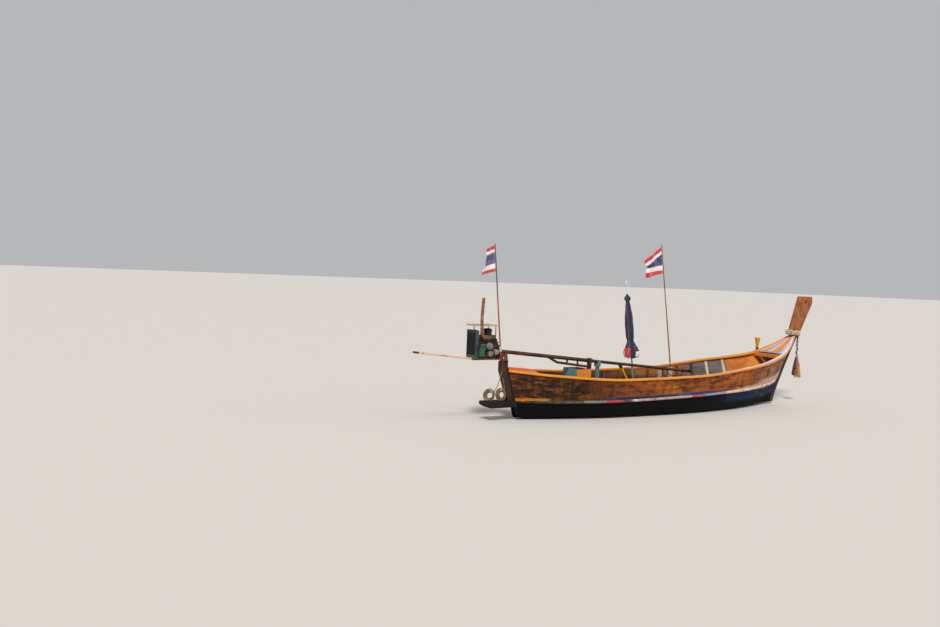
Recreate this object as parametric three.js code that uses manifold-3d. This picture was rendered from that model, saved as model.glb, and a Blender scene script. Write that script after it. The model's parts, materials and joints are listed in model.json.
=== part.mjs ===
// A wooden longtail boat standing on its keel plank, with its motor swung inboard.
// Millimetres. +X runs to the bow, +Y to port, +Z up. The origin is the centre of the
// keel plank's underside, 4 m forward of the transom's top edge.
import * as THREE from 'three';
import { mergeVertices } from 'three/addons/utils/BufferGeometryUtils.js';
import Module from 'manifold-3d';

const wasm = await Module();
wasm.setup();

// Driving dimensions.
const HALF_LENGTH = 4000; // transom's top edge to origin; stations below count from the transom
const PLANKING = 30; // thickness of the hull shell
const KEEL_PLANK = 25; // how far the keel plank stands below the hull
const KEEL_HALF_WIDTH = 180;
const FIT = 0.3; // gap between pieces that touch
const CAP_HEIGHT = 45; // gunwale caps
const CAP_INSIDE = 42;
const CAP_OUTSIDE = 24;
const DECK_THICKNESS = 26;
const FOREDECK_AFT_EDGE = 7225;
const STERN_DECK_FORE_EDGE = 520;
const FLOOR_TOP = 140;
const THWART_TOP = 540;
const RIB_DEPTH = 34;
const RIB_WIDTH = 46;
const RIB_SPACING = 420;
const STEM_HALF_THICKNESS = 45;
const STEM_DEPTH = 95;
const PROW_HEIGHT = 2490; // top of the prow plank
const KINGPIN_RAKE = 4.5; // degrees, top leaning aft
const PIVOT = { t: -60, z: 1215 }; // trunnion of the motor
const TAIL_SLOPE = 5.67; // degrees below level, motor parked inboard
const TAIL_HEIGHT = 1282; // shaft line above the pivot's station
const TAIL_END = 4600;
const TAIL_RADIUS = 32;
const PROPELLER_RADIUS = 125;

// Hull lines. u: station parameter; ts, tk: distance from the transom's top edge at the
// sheer and at the keel; zs, bs: sheer height and half-breadth; zc, bc: chine; zf, bf: turn
// of the floor; zk, bk: bottom.
const LINES = [
  { u: 0, ts: 0, tk: 250, zs: 908, bs: 115, zc: 298, bc: 104, zf: 70, bf: 92, zk: 32, bk: 45 },
  { u: 0.1, ts: 800, tk: 950, zs: 838, bs: 523, zc: 324, bc: 440, zf: 70, bf: 300, zk: 25, bk: 110 },
  { u: 0.28, ts: 2250, tk: 2250, zs: 760, bs: 804, zc: 336, bc: 720, zf: 58, bf: 520, zk: 25, bk: 185 },
  { u: 0.52, ts: 4150, tk: 4000, zs: 783, bs: 845, zc: 370, bc: 770, zf: 55, bf: 590, zk: 25, bk: 185 },
  { u: 0.72, ts: 5750, tk: 5380, zs: 918, bs: 802, zc: 415, bc: 680, zf: 58, bf: 480, zk: 25, bk: 185 },
  { u: 0.88, ts: 7050, tk: 6520, zs: 1095, bs: 480, zc: 450, bc: 370, zf: 86, bf: 225, zk: 27, bk: 110 },
  { u: 0.95, ts: 7560, tk: 6950, zs: 1290, bs: 285, zc: 490, bc: 200, zf: 112, bf: 112, zk: 36, bk: 60 },
  { u: 1, ts: 8000, tk: 7250, zs: 1560, bs: 45, zc: 515, bc: 45, zf: 150, bf: 45, zk: 55, bk: 45 },
];
const SHELL_STATIONS = 22;
const SIDE_STEPS = 3; // facets between turn of floor and chine, and again up to the sheer

const X = (t) => t - HALF_LENGTH;
const rad = (deg) => THREE.MathUtils.degToRad(deg);

// Monotone cubic through the table's rows.
function line(key) {
  const xs = LINES.map((row) => row.u);
  const ys = LINES.map((row) => row[key]);
  const n = xs.length;
  const slope = [];
  for (let i = 0; i < n - 1; i++) slope.push((ys[i + 1] - ys[i]) / (xs[i + 1] - xs[i]));
  const m = [slope[0]];
  for (let i = 1; i < n - 1; i++) {
    const same = slope[i - 1] * slope[i] > 0;
    m.push(same ? (2 * slope[i - 1] * slope[i]) / (slope[i - 1] + slope[i]) : 0);
  }
  m.push(slope[n - 2]);
  return (u) => {
    let i = 0;
    while (i < n - 2 && u > xs[i + 1]) i++;
    const h = xs[i + 1] - xs[i];
    const s = (u - xs[i]) / h;
    const a = (1 + 2 * s) * (1 - s) ** 2;
    const b = s * (1 - s) ** 2;
    const c = s * s * (3 - 2 * s);
    const d = s * s * (s - 1);
    return a * ys[i] + b * h * m[i] + c * ys[i + 1] + d * h * m[i + 1];
  };
}
const L = Object.fromEntries(
  ['ts', 'tk', 'zs', 'bs', 'zc', 'bc', 'zf', 'bf', 'zk', 'bk'].map((key) => [key, line(key)]));

// Station parameter whose sheer lies at distance t from the transom.
function uAtSheer(t) {
  let lo = 0;
  let hi = 1;
  for (let i = 0; i < 40; i++) {
    const mid = (lo + hi) / 2;
    if (L.ts(mid) < t) lo = mid;
    else hi = mid;
  }
  return (lo + hi) / 2;
}

// Distance from the transom at height z on station u: the stations rake like stem and transom.
function tAt(u, z) {
  const h = Math.max(0, (z - L.zk(u)) / (L.zs(u) - L.zk(u)));
  return L.tk(u) + (L.ts(u) - L.tk(u)) * h ** 1.17;
}

// Half a section from the middle of the bottom to the sheer, moved inwards by inset.
function halfSection(u, inset = 0) {
  const floor = new THREE.Vector2(L.bf(u), L.zf(u));
  const chine = new THREE.Vector2(L.bc(u), L.zc(u));
  const sheer = new THREE.Vector2(L.bs(u), L.zs(u));
  const bilge = new THREE.SplineCurve([new THREE.Vector2(L.bk(u), L.zk(u)), floor, chine, sheer]);
  const points = [new THREE.Vector2(0, L.zk(u)), ...bilge.getPoints(3 * SIDE_STEPS)];
  return points.map((p, i) => {
    const a = points[Math.max(0, i - 1)];
    const b = points[Math.min(points.length - 1, i + 1)];
    const along = new THREE.Vector2().subVectors(b, a).normalize();
    const y = i === 0 ? 0 : Math.max(1, p.x - inset * along.y);
    return new THREE.Vector2(y, p.y + inset * (i === 0 ? 1 : along.x));
  });
}

// A closed solid through rings of points, all of one length, capped at both ends.
function loft(rings) {
  const n = rings[0].length;
  const position = [];
  const index = [];
  for (const ring of rings) for (const p of ring) position.push(p.x, p.y, p.z);
  for (let r = 0; r < rings.length - 1; r++) {
    for (let i = 0; i < n; i++) {
      const j = (i + 1) % n;
      const a = r * n + i;
      const b = r * n + j;
      index.push(a, b, a + n, b, b + n, a + n);
    }
  }
  const end = (rings.length - 1) * n;
  for (let i = 0, j = n - 1; i + 1 <= j - 1; i++, j--) {
    index.push(i, j, i + 1);
    index.push(end + i, end + i + 1, end + j);
    if (i + 1 < j - 1) {
      index.push(i + 1, j, j - 1);
      index.push(end + i + 1, end + j - 1, end + j);
    }
  }
  const geometry = new THREE.BufferGeometry();
  geometry.setAttribute('position', new THREE.Float32BufferAttribute(position, 3));
  geometry.setIndex(index);
  return geometry;
}

// Booleans.
function solid(geometry) {
  const bare = geometry.clone();
  bare.deleteAttribute('normal');
  bare.deleteAttribute('uv');
  const merged = mergeVertices(bare, 1e-3);
  const mesh = new wasm.Mesh({
    numProp: 3,
    vertProperties: new Float32Array(merged.attributes.position.array),
    triVerts: new Uint32Array(merged.index.array),
  });
  const made = new wasm.Manifold(mesh);
  if (made.volume() > 0) return made;
  const flipped = merged.index.array.slice();
  for (let i = 0; i < flipped.length; i += 3) [flipped[i], flipped[i + 1]] = [flipped[i + 1], flipped[i]];
  return new wasm.Manifold(new wasm.Mesh({
    numProp: 3,
    vertProperties: new Float32Array(merged.attributes.position.array),
    triVerts: new Uint32Array(flipped),
  }));
}
function geometryOf(manifold) {
  const mesh = manifold.getMesh();
  const geometry = new THREE.BufferGeometry();
  geometry.setAttribute('position', new THREE.Float32BufferAttribute(mesh.vertProperties, 3));
  geometry.setIndex(Array.from(mesh.triVerts));
  return geometry;
}
const union = (...pieces) => geometryOf(pieces.map(solid).reduce((a, b) => a.add(b)));

// Plain shapes at a place given as (t, y, z), t counting from the transom.
function box(t0, t1, y0, y1, z0, z1) {
  const geometry = new THREE.BoxGeometry(t1 - t0, y1 - y0, z1 - z0);
  geometry.translate(X((t0 + t1) / 2), (y0 + y1) / 2, (z0 + z1) / 2);
  return geometry;
}
const at = (t, y, z) => new THREE.Vector3(X(t), y, z);
function rod(from, to, radius, segments = 12, endRadius = radius) {
  const length = from.distanceTo(to);
  const geometry = new THREE.CylinderGeometry(endRadius, radius, length, segments);
  const along = new THREE.Vector3().subVectors(to, from).normalize();
  geometry.applyQuaternion(new THREE.Quaternion().setFromUnitVectors(new THREE.Vector3(0, 1, 0), along));
  geometry.translate((from.x + to.x) / 2, (from.y + to.y) / 2, (from.z + to.z) / 2);
  return geometry;
}
function turned(profile, foot, direction, segments = 16) {
  const geometry = new THREE.LatheGeometry(profile.map(([r, h]) => new THREE.Vector2(r, h)), segments);
  const up = new THREE.Vector3(0, 1, 0);
  geometry.applyQuaternion(new THREE.Quaternion().setFromUnitVectors(up, direction.clone().normalize()));
  geometry.translate(foot.x, foot.y, foot.z);
  return geometry;
}
function sideProfile(points, y0, y1) {
  const shape = new THREE.Shape(points.map(([t, z]) => new THREE.Vector2(X(t), z)));
  const geometry = new THREE.ExtrudeGeometry(shape, { depth: y1 - y0, bevelEnabled: false });
  geometry.rotateX(Math.PI / 2);
  geometry.translate(0, y1, 0);
  return geometry;
}
function tubeAlong(points, radius, steps = 16, sides = 8) {
  const circle = new THREE.Shape();
  circle.absarc(0, 0, radius, 0, 2 * Math.PI, false);
  return new THREE.ExtrudeGeometry(circle, {
    steps,
    curveSegments: sides / 2,
    extrudePath: new THREE.CatmullRomCurve3(points),
    bevelEnabled: false,
  });
}

const boat = new THREE.Group();
function add(name, geometry, color, roughness = 0.7, metalness = 0) {
  const material = new THREE.MeshStandardMaterial({ color, roughness, metalness });
  const mesh = new THREE.Mesh(geometry, material);
  mesh.name = name;
  boat.add(mesh);
  return mesh;
}

// Hull shell: the outer form less the inner one. The inner form ends short of stem and
// transom and stands above the sheer, so that the hull is open.
function hullForm(inset, u0, u1, raised, stations) {
  const rings = [];
  for (let i = 0; i <= stations; i++) {
    const u = u0 + ((u1 - u0) * i) / stations;
    const half = halfSection(u, inset);
    const ring = half.map((p) => at(tAt(u, p.y), -p.x, p.y)).slice(1);
    const port = half.map((p) => at(tAt(u, p.y), p.x, p.y));
    const sheer = half[half.length - 1];
    if (raised) {
      const lid = sheer.y + raised;
      ring.push(at(tAt(u, sheer.y), -sheer.x, lid));
      port.push(at(tAt(u, sheer.y), sheer.x, lid));
    }
    rings.push([...ring.reverse(), ...port]);
  }
  return loft(rings);
}
const outer = solid(hullForm(0, 0, 1, 0, SHELL_STATIONS));
const INNER_U = [0.012, 0.975];
const inner = solid(hullForm(PLANKING, ...INNER_U, 260, SHELL_STATIONS));
add('hull_planking', geometryOf(outer.subtract(inner)), '#8a4a1e', 0.6);

// Gunwale caps along the sheer, one a side.
function alongSheer(side, y0, y1, z0, z1) {
  const rings = [];
  for (let i = 0; i <= SHELL_STATIONS; i++) {
    const u = i / SHELL_STATIONS;
    const t = L.ts(u);
    const b = L.bs(u);
    const z = L.zs(u);
    rings.push([[y0, z0], [y1, z0], [y1, z1], [y0, z1]].map(([y, h]) => at(t, side * (b + y), z + h)));
  }
  return loft(rings);
}
for (const [name, side] of [['gunwale_starboard', -1], ['gunwale_port', 1]]) {
  add(name, geometryOf(solid(alongSheer(side, -CAP_INSIDE, CAP_OUTSIDE, FIT, CAP_HEIGHT))), '#e89020', 0.55);
}

// Room kept for the caps by whatever ends at them.
const keepOut = solid(alongSheer(-1, -CAP_INSIDE - FIT, 240, -14, 400))
  .add(solid(alongSheer(1, -CAP_INSIDE - FIT, 240, -14, 400)));

// Inside framing lies against the shell: ribs joined by the keelson, risers by the thwarts.
const innerForm = (inset, raised) => solid(hullForm(inset, ...INNER_U, raised, SHELL_STATIONS));
const lining = innerForm(PLANKING + FIT, 0);
const within = innerForm(PLANKING + FIT + RIB_DEPTH, 260);
const inside = innerForm(PLANKING + 2 * FIT + RIB_DEPTH, 260);
const deeper = innerForm(PLANKING + 2 * FIT + RIB_DEPTH + 28, 300);
const skin = lining.subtract(within);
const ribSlabs = [];
for (let t = 900; t <= 6500; t += RIB_SPACING) {
  ribSlabs.push(solid(box(t - RIB_WIDTH / 2, t + RIB_WIDTH / 2, -1000, 1000, 0, 1400)));
}
const keelson = solid(box(700, 6650, -60, 60, 40, 96)).intersect(lining);
const ribs = skin.intersect(ribSlabs.reduce((a, b) => a.add(b))).add(keelson).subtract(keepOut);
add('ribs_and_keelson', geometryOf(ribs.simplify(0.2)), '#8a6a50', 0.8);

const floor = solid(box(850, 6300, -400, 400, FLOOR_TOP - 22, FLOOR_TOP)).intersect(inside);
add('floorboards', geometryOf(floor), '#6b4a30', 0.85);

// Thwarts: aft edge and fore edge, from the transom.
const THWARTS = [
  { aft: 2080, fore: 2300 },
  { aft: 3330, fore: 3550 },
  { aft: 4050, fore: 4570 },
  { aft: 5750, fore: 5970 },
];
const riserBand = solid(box(1500, 6350, -1000, 1000, THWART_TOP - 110, THWART_TOP - 26));
const risers = inside.subtract(deeper).intersect(riserBand);
const seats = THWARTS.map((row) =>
  solid(box(row.aft, row.fore, -1000, 1000, THWART_TOP - 30, THWART_TOP)).intersect(inside));
add('thwarts_and_risers', geometryOf(seats.reduce((a, b) => a.add(b), risers)), '#7a4a24', 0.75);

// Keel plank, tapered towards both ends. t: from the transom; half: half its width.
const PLANK_OUTLINE = [
  { t: 430, half: 70 },
  { t: 1500, half: KEEL_HALF_WIDTH },
  { t: 5400, half: KEEL_HALF_WIDTH },
  { t: 6500, half: 90 },
];
const plankSide = (side) => PLANK_OUTLINE.map((row) => new THREE.Vector2(X(row.t), side * row.half));
const plank = new THREE.ExtrudeGeometry(
  new THREE.Shape([...plankSide(-1), ...plankSide(1).reverse()]),
  { depth: KEEL_PLANK - FIT, bevelEnabled: false });
add('keel_plank', plank, '#14161a', 0.8);

// Rubbing strakes along the chine, parallel to the shell's own facets.
const clearOfShell = solid(hullForm(-FIT, 0, 1, 0, SHELL_STATIONS));
function strake(side) {
  const rings = [];
  const first = 2 * SIDE_STEPS + 1;
  for (let i = 1; i < SHELL_STATIONS; i++) {
    const u = i / SHELL_STATIONS;
    const half = halfSection(u);
    const a = half[first].clone().lerp(half[first + 1], 0.05);
    const b = half[first].clone().lerp(half[first + 1], 0.42);
    const out = new THREE.Vector2(b.y - a.y, a.x - b.x).normalize();
    const corners = [[a, -8], [a, 20], [b, 20], [b, -8]];
    rings.push(corners.map(([p, d]) => {
      const q = p.clone().addScaledVector(out, d);
      return at(tAt(u, p.y), side * q.x, q.y);
    }));
  }
  return loft(rings);
}
for (const [name, side] of [['strake_starboard', -1], ['strake_port', 1]]) {
  add(name, geometryOf(solid(strake(side)).subtract(clearOfShell)), '#c9a59a', 0.6);
}

// Decks between the caps.
function deck(u0, u1, stations, crown) {
  const rings = [];
  for (let i = 0; i <= stations; i++) {
    const u = u0 + ((u1 - u0) * i) / stations;
    const half = L.bs(u) - CAP_INSIDE + 30;
    const low = L.zs(u) + CAP_HEIGHT - DECK_THICKNESS;
    const ring = [];
    for (const k of [-1, -0.5, 0, 0.5, 1]) ring.push(at(L.ts(u), k * half, low + DECK_THICKNESS
      + crown * (1 - k * k)));
    for (const k of [1, 0.5, 0, -0.5, -1]) ring.push(at(L.ts(u), k * half, low + crown * (1 - k * k)));
    rings.push(ring);
  }
  return loft(rings);
}
add('foredeck', geometryOf(solid(deck(uAtSheer(FOREDECK_AFT_EDGE), 0.99, 8, 14)).subtract(keepOut)), '#f0a040', 0.5);
add('stern_deck', geometryOf(solid(deck(0.004, uAtSheer(STERN_DECK_FORE_EDGE), 5, 46)).subtract(keepOut)), '#d88028', 0.6);

// Beam under the foredeck's aft edge, with the mooring bollard on its port end.
const beamSheer = L.zs(uAtSheer(FOREDECK_AFT_EDGE - 47));
const BEAM_TOP = beamSheer + 24;
const beam = solid(box(FOREDECK_AFT_EDGE - 87, FOREDECK_AFT_EDGE - 7, -600, 600, beamSheer - 60, BEAM_TOP)).intersect(
  innerForm(PLANKING + FIT, 60));
add('fore_beam', geometryOf(beam.subtract(keepOut)), '#c88a2a', 0.6);
const bollardProfile = [
  [0, 0], [28, 0], [26, 150], [32, 180], [38, 192], [34, 206], [38, 226], [58, 330], [56, 342], [0, 350],
];
add('bollard', turned(bollardProfile, at(FOREDECK_AFT_EDGE - 47, 330, BEAM_TOP + FIT), new THREE.Vector3(0, 0, 1), 14),
  '#e8a020', 0.5);

// Stem timber in front of the shell, and the prow plank that stands on it.
const stemCurve = [];
for (let i = 0; i <= 8; i++) {
  const z = L.zk(1) + ((L.zs(1) - L.zk(1)) * i) / 8;
  stemCurve.push([tAt(1, z), z]);
}
const stemTop = L.zs(1);
const stemShape = [
  ...stemCurve.map(([t, z]) => [t + 1, z]),
  [8000 + 30, stemTop + 50],
  [8000 + 30 + STEM_DEPTH, stemTop + 50],
  ...stemCurve.slice().reverse().map(([t, z]) => [t + STEM_DEPTH, z]),
];
const stemTimber = solid(sideProfile(stemShape, -STEM_HALF_THICKNESS + 6, STEM_HALF_THICKNESS - 6));
const aheadOfShell = clearOfShell.add(clearOfShell.translate([1, 0, 0]));
add('stem', geometryOf(stemTimber.subtract(aheadOfShell)), '#7a5a48', 0.75);
const PROW_FOOT = stemTop + 50 + FIT;
const prowShape = [
  [7835, PROW_FOOT],
  [8160, PROW_FOOT],
  [8571, PROW_HEIGHT - 148],
  [8558, PROW_HEIGHT],
  [8119, PROW_HEIGHT],
];
add('prow_plank', sideProfile(prowShape, -42, 42), '#9a5a34', 0.75);

// Stern: post behind the transom, bored for the kingpin, over a step.
const transom = (z) => tAt(0, z);
const STEP_TOP = 365;
const postTop = (t) => PIVOT.z - 102.5 + (t - PIVOT.t - 8) * Math.tan(rad(KINGPIN_RAKE));
const postShape = [
  [transom(STEP_TOP) - 1, STEP_TOP + FIT],
  [transom(930) - 1, 930],
  [transom(930) - 1, 985],
  [transom(930) + 20, 1000],
  [transom(930) + 20, postTop(20)],
  [-135, postTop(-135)],
  [transom(930) - 128, 930],
  [transom(STEP_TOP) - 120, STEP_TOP + FIT],
];
const rake = new THREE.Vector3(-Math.sin(rad(KINGPIN_RAKE)), 0, Math.cos(rad(KINGPIN_RAKE)));
const pivot = at(PIVOT.t, 0, PIVOT.z);
const onKingpin = (d) => pivot.clone().addScaledVector(rake, d);
const KINGPIN_RADIUS = 22;
const bore = solid(rod(onKingpin(-330), onKingpin(-60), KINGPIN_RADIUS + 0.6, 24));
const post = solid(sideProfile(postShape, -55, 55)).subtract(bore);
add('sternpost', geometryOf(post), '#4a2a1c', 0.8);
const stepShape = [
  [-470, 300],
  [-470, STEP_TOP - 10],
  [-440, STEP_TOP],
  [transom(STEP_TOP) - 1, STEP_TOP],
  [transom(250) - 1, 250],
  [-380, 250],
];
add('stern_step', sideProfile(stepShape, -150, 150), '#22140e', 0.9);

// Coils of rope on the step.
function coil(name, centre, axis, ringRadius, ropeRadius) {
  const ring = [];
  for (let i = 0; i <= 10; i++) {
    const a = (2 * Math.PI * i) / 10;
    ring.push([ringRadius + ropeRadius * Math.cos(a), ropeRadius * Math.sin(a)]);
  }
  add(name, turned(ring, centre, axis, 24), '#b08a5c', 0.9);
}
coil('rope_coil_aft', at(-386, -88, STEP_TOP + 124), new THREE.Vector3(0.16, 1, 0.06), 86, 36);
coil('rope_coil_side', at(-138, -98, STEP_TOP + 126), new THREE.Vector3(-0.1, 1, -0.06), 88, 34);

// Painted locker in front of whoever steers, open at the top.
const LOCKER = { aft: 1505, fore: 1850, half: 228, top: 936, board: 18 };
const lockerRoom = box(LOCKER.aft + LOCKER.board, LOCKER.fore - LOCKER.board, -LOCKER.half + LOCKER.board,
  LOCKER.half - LOCKER.board, FLOOR_TOP + FIT + LOCKER.board, LOCKER.top + 50);
add('stern_locker', geometryOf(solid(box(LOCKER.aft, LOCKER.fore, -LOCKER.half, LOCKER.half,
  FLOOR_TOP + FIT, LOCKER.top)).subtract(solid(lockerRoom))), '#5a9aa0', 0.6);

// Shaft line of the parked motor.
const tailZ = (t) => TAIL_HEIGHT - (t - PIVOT.t) * Math.tan(rad(TAIL_SLOPE));
const onTail = (t, below = 0) => at(t, 0, tailZ(t) - below);
const tailWay = new THREE.Vector3(Math.cos(rad(TAIL_SLOPE)), 0, -Math.sin(rad(TAIL_SLOPE)));

// Posts that carry the tail, the umbrella and the pole.
const CRUTCH_T = 2180;
const crutchHorns = solid(box(CRUTCH_T - 28, CRUTCH_T + 28, -70, 70, tailZ(CRUTCH_T) - 100, tailZ(CRUTCH_T) + 14));
const crutchStem = solid(box(CRUTCH_T - 28, CRUTCH_T + 28, -30, 30, THWART_TOP + FIT, tailZ(CRUTCH_T) - 90));
const crutchNotch = solid(rod(onTail(CRUTCH_T - 200), onTail(CRUTCH_T + 200), TAIL_RADIUS + 6, 16))
  .add(solid(box(CRUTCH_T - 40, CRUTCH_T + 40, -TAIL_RADIUS - 6, TAIL_RADIUS + 6, tailZ(CRUTCH_T), 1200)));
add('crutch_post', geometryOf(crutchHorns.add(crutchStem).subtract(crutchNotch)), '#5a9aa0', 0.6);
const PROP_T = 2810;
const propTop = at(PROP_T, 0, tailZ(PROP_T) - 78);
const propFoot = at(3310, 0, FLOOR_TOP + 24);
add('yellow_prop', rod(propFoot, propTop, 24, 10), '#d8a828', 0.6);
const padAlong = new THREE.Vector3().subVectors(propTop, propFoot).normalize();
add('prop_pad', geometryOf(solid(rod(propTop.clone().addScaledVector(padAlong, 14),
  propTop.clone().addScaledVector(padAlong, 76), 38, 12)).subtract(
  solid(rod(onTail(2400), onTail(3100), TAIL_RADIUS + 5, 16)))), '#16161a', 0.9);
const UMBRELLA = { t: 3358, y: 300, top: 935, lean: 8.7 };
const leanAft = (deg) => new THREE.Vector3(-Math.sin(rad(deg)), 0, Math.cos(rad(deg)));
const umbrellaWay = leanAft(UMBRELLA.lean);
const umbrellaFoot = at(UMBRELLA.t, UMBRELLA.y, UMBRELLA.top);
const onUmbrella = (d) => umbrellaFoot.clone().addScaledVector(umbrellaWay, d);
add('umbrella_socket', rod(onUmbrella(-395), onUmbrella(0), 28, 12), '#5a9aa0', 0.6);
add('umbrella_pole', rod(onUmbrella(FIT), onUmbrella(1775), 13, 10), '#4a3a30', 0.6);
const canopy = [
  [14, 195], [112, 190], [158, 235], [150, 310], [84, 385], [74, 430], [86, 600], [90, 740], [72, 960],
  [46, 1240], [38, 1400], [64, 1440], [60, 1500], [30, 1560], [14, 1580], [14, 195],
];
add('umbrella_canopy', turned(canopy, umbrellaFoot, umbrellaWay, 16), '#2a3050', 0.9);

// Short posts on the wide thwart; the fore one carries the flag pole.
const POST_Y = 300;
const POSTS = [
  { name: 'short_post_aft', t: 4142, top: 800 },
  { name: 'short_post_fore', t: 4450, top: 868 },
];
for (const row of POSTS) {
  add(row.name, box(row.t - 34, row.t + 34, POST_Y - 34, POST_Y + 34, THWART_TOP + FIT, row.top), '#b0a898', 0.7);
}
const poleFoot = at(4446, POST_Y, 870);
const poleWay = leanAft(9.2);
const onPole = (d) => poleFoot.clone().addScaledVector(poleWay, d);
add('flag_pole', rod(onPole(6), onPole(2650), 15, 10, 9), '#a07a60', 0.6);
function flag(name, hoistTop, way, hoist, fly, droop, color) {
  const rings = [];
  for (let i = 0; i <= 8; i++) {
    const s = i / 8;
    const wave = 34 * Math.sin(s * 5.2) * s;
    const half = 1.5;
    const head = hoistTop.clone().addScaledVector(way, -droop * s * s);
    const foot = head.clone().addScaledVector(way, -hoist);
    rings.push([
      new THREE.Vector3(head.x - fly * s, head.y + wave - half, head.z),
      new THREE.Vector3(head.x - fly * s, head.y + wave + half, head.z),
      new THREE.Vector3(foot.x - fly * s, foot.y + wave + half, foot.z),
      new THREE.Vector3(foot.x - fly * s, foot.y + wave - half, foot.z),
    ]);
  }
  add(name, geometryOf(solid(loft(rings))), color, 0.9);
}
const beside = (p, d) => p.clone().add(new THREE.Vector3(-d, 0, 0));
flag('flag_mid', beside(onPole(2600), 17), poleWay, 560, 430, 170, '#b8303c');

// Garland round the prow and the sash that hangs in front of the stem.
const garland = [];
for (let i = 0; i <= 8; i++) {
  const a = (2 * Math.PI * i) / 8;
  garland.push([1 + 0.2 * Math.cos(a), 40 * Math.sin(a)]);
}
const wreath = new THREE.LatheGeometry(garland.map(([r, h]) => new THREE.Vector2(r, h)), 24);
wreath.scale(176, 1, 88);
wreath.rotateX(Math.PI / 2);
wreath.rotateY(rad(-8));
wreath.translate(X(8012), 0, stemTop + 88);
const prowHole = solid(sideProfile(prowShape, -42.5, 42.5));
const prowRoom = prowHole.translate([0.6, 0, 0]).add(prowHole.translate([-0.6, 0, 0]));
add('garland', geometryOf(solid(wreath).subtract(prowRoom)), '#f0d8c8', 0.9);
const sash = [
  [0, 0], [13, 8], [14, -400], [22, -520], [62, -600], [84, -780], [118, -940], [96, -1000], [0, -1010],
].reverse();
add('sash', turned(sash.map(([r, h]) => [r, h]), at(8158, 0, stemTop + 40), new THREE.Vector3(0, 0, 1), 12),
  '#8a3040', 0.9);

// Swivel: kingpin, plate and the fork that holds the motor's trunnion.
const FORK_INSIDE = 72;
const FORK_THICKNESS = 14;
const PIN_RADIUS = 14;
const cheeks = [-1, 1].map((side) => {
  const y0 = side < 0 ? -FORK_INSIDE - FORK_THICKNESS : FORK_INSIDE;
  return sideProfile([
    [PIVOT.t - 46, 1126], [PIVOT.t + 46, 1126], [PIVOT.t + 28, PIVOT.z + 24], [PIVOT.t, PIVOT.z + 34],
    [PIVOT.t - 28, PIVOT.z + 24],
  ], y0, y0 + FORK_THICKNESS);
});
const trunnionPin = rod(at(PIVOT.t, -FORK_INSIDE - 26, PIVOT.z), at(PIVOT.t, FORK_INSIDE + 26, PIVOT.z),
  PIN_RADIUS, 24);
const swivelPlate = rod(onKingpin(-102), onKingpin(-82), 72, 20);
const forkFoot = box(PIVOT.t - 46, PIVOT.t + 46, -FORK_INSIDE - FORK_THICKNESS, FORK_INSIDE + FORK_THICKNESS, 1120, 1138);
add('swivel_yoke', union(rod(onKingpin(-300), onKingpin(-90), KINGPIN_RADIUS, 24), swivelPlate,
  forkFoot, cheeks[0], cheeks[1], trunnionPin), '#5a4a40', 0.6, 0.6);

// Motor: saddle on the trunnion, bed, engine, tiller and tail.
const BED_TOP = 1176;
const BED_DEPTH = 34;
const BED_FRONT = -190;
const BED_BACK = -760;
const pinBore = solid(rod(at(PIVOT.t, -200, PIVOT.z), at(PIVOT.t, 200, PIVOT.z), PIN_RADIUS + 0.5, 24));
const saddle = solid(box(-172, PIVOT.t + 44, -66, 66, PIVOT.z - 27, TAIL_HEIGHT - 20))
  .add(solid(box(BED_FRONT - 50, -150, -60, 60, BED_TOP + FIT, PIVOT.z - 20)));
const UPPER_BAR = 36; // radius
const LOWER_BAR = 24;
const CLAMP = { aft: 1945, fore: 2000 };
const lowerBar = (t) => 99 + (t - 1180) * 0.03; // depth below the shaft line
const tailFrame = [
  rod(onTail(-158), onTail(CLAMP.fore - 40), UPPER_BAR, 12),
  rod(onTail(960, 10), onTail(1180, lowerBar(1180)), LOWER_BAR, 8),
  rod(onTail(1165, lowerBar(1165)), onTail(CLAMP.fore - 30, lowerBar(1970)), LOWER_BAR, 8),
  box(CLAMP.aft, CLAMP.fore, -38, 38, tailZ(1970) - 162, tailZ(1970) + 50),
];
for (const t of [1420, 1680]) {
  tailFrame.push(box(t - 14, t + 14, -12, 12, tailZ(t) - lowerBar(t), tailZ(t)));
}
const tailBody = tailFrame.map(solid).reduce((a, b) => a.add(b), saddle);
add('tail_frame', geometryOf(tailBody.subtract(pinBore)), '#2a1a14', 0.6, 0.5);
add('tail_tube', rod(onTail(CLAMP.fore + 4), onTail(TAIL_END), TAIL_RADIUS, 14), '#2a1410', 0.6, 0.5);
const hoopPoints = [onTail(4060, 28), onTail(4150, 84), onTail(4290, 140), onTail(4420, 136),
  onTail(4490, 84), onTail(4515, 28)];
add('skeg_hoop', geometryOf(solid(tubeAlong(hoopPoints, 10, 20, 8)).subtract(
  solid(rod(onTail(3900), onTail(TAIL_END + 40), TAIL_RADIUS + FIT, 14)))), '#3a241c', 0.6, 0.5);
const hub = solid(rod(onTail(TAIL_END + 2), onTail(TAIL_END + 96), 27, 16, 16));
const blades = [];
for (let i = 0; i < 3; i++) {
  const shape = new THREE.Shape([
    new THREE.Vector2(-16, 12), new THREE.Vector2(-42, 64), new THREE.Vector2(-34, 108),
    new THREE.Vector2(0, PROPELLER_RADIUS), new THREE.Vector2(34, 108), new THREE.Vector2(38, 64),
    new THREE.Vector2(16, 12),
  ]);
  const blade = new THREE.ExtrudeGeometry(shape, { depth: 7, bevelEnabled: false });
  blade.translate(0, 0, -3.5);
  blade.rotateY(rad(58));
  blade.rotateX(rad(120 * i));
  blade.rotateY(rad(TAIL_SLOPE));
  const c = onTail(TAIL_END + 50);
  blade.translate(c.x, c.y, c.z);
  blades.push(solid(blade));
}
add('propeller', geometryOf(blades.reduce((a, b) => a.add(b), hub)), '#9a7a48', 0.4, 0.8);

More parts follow.
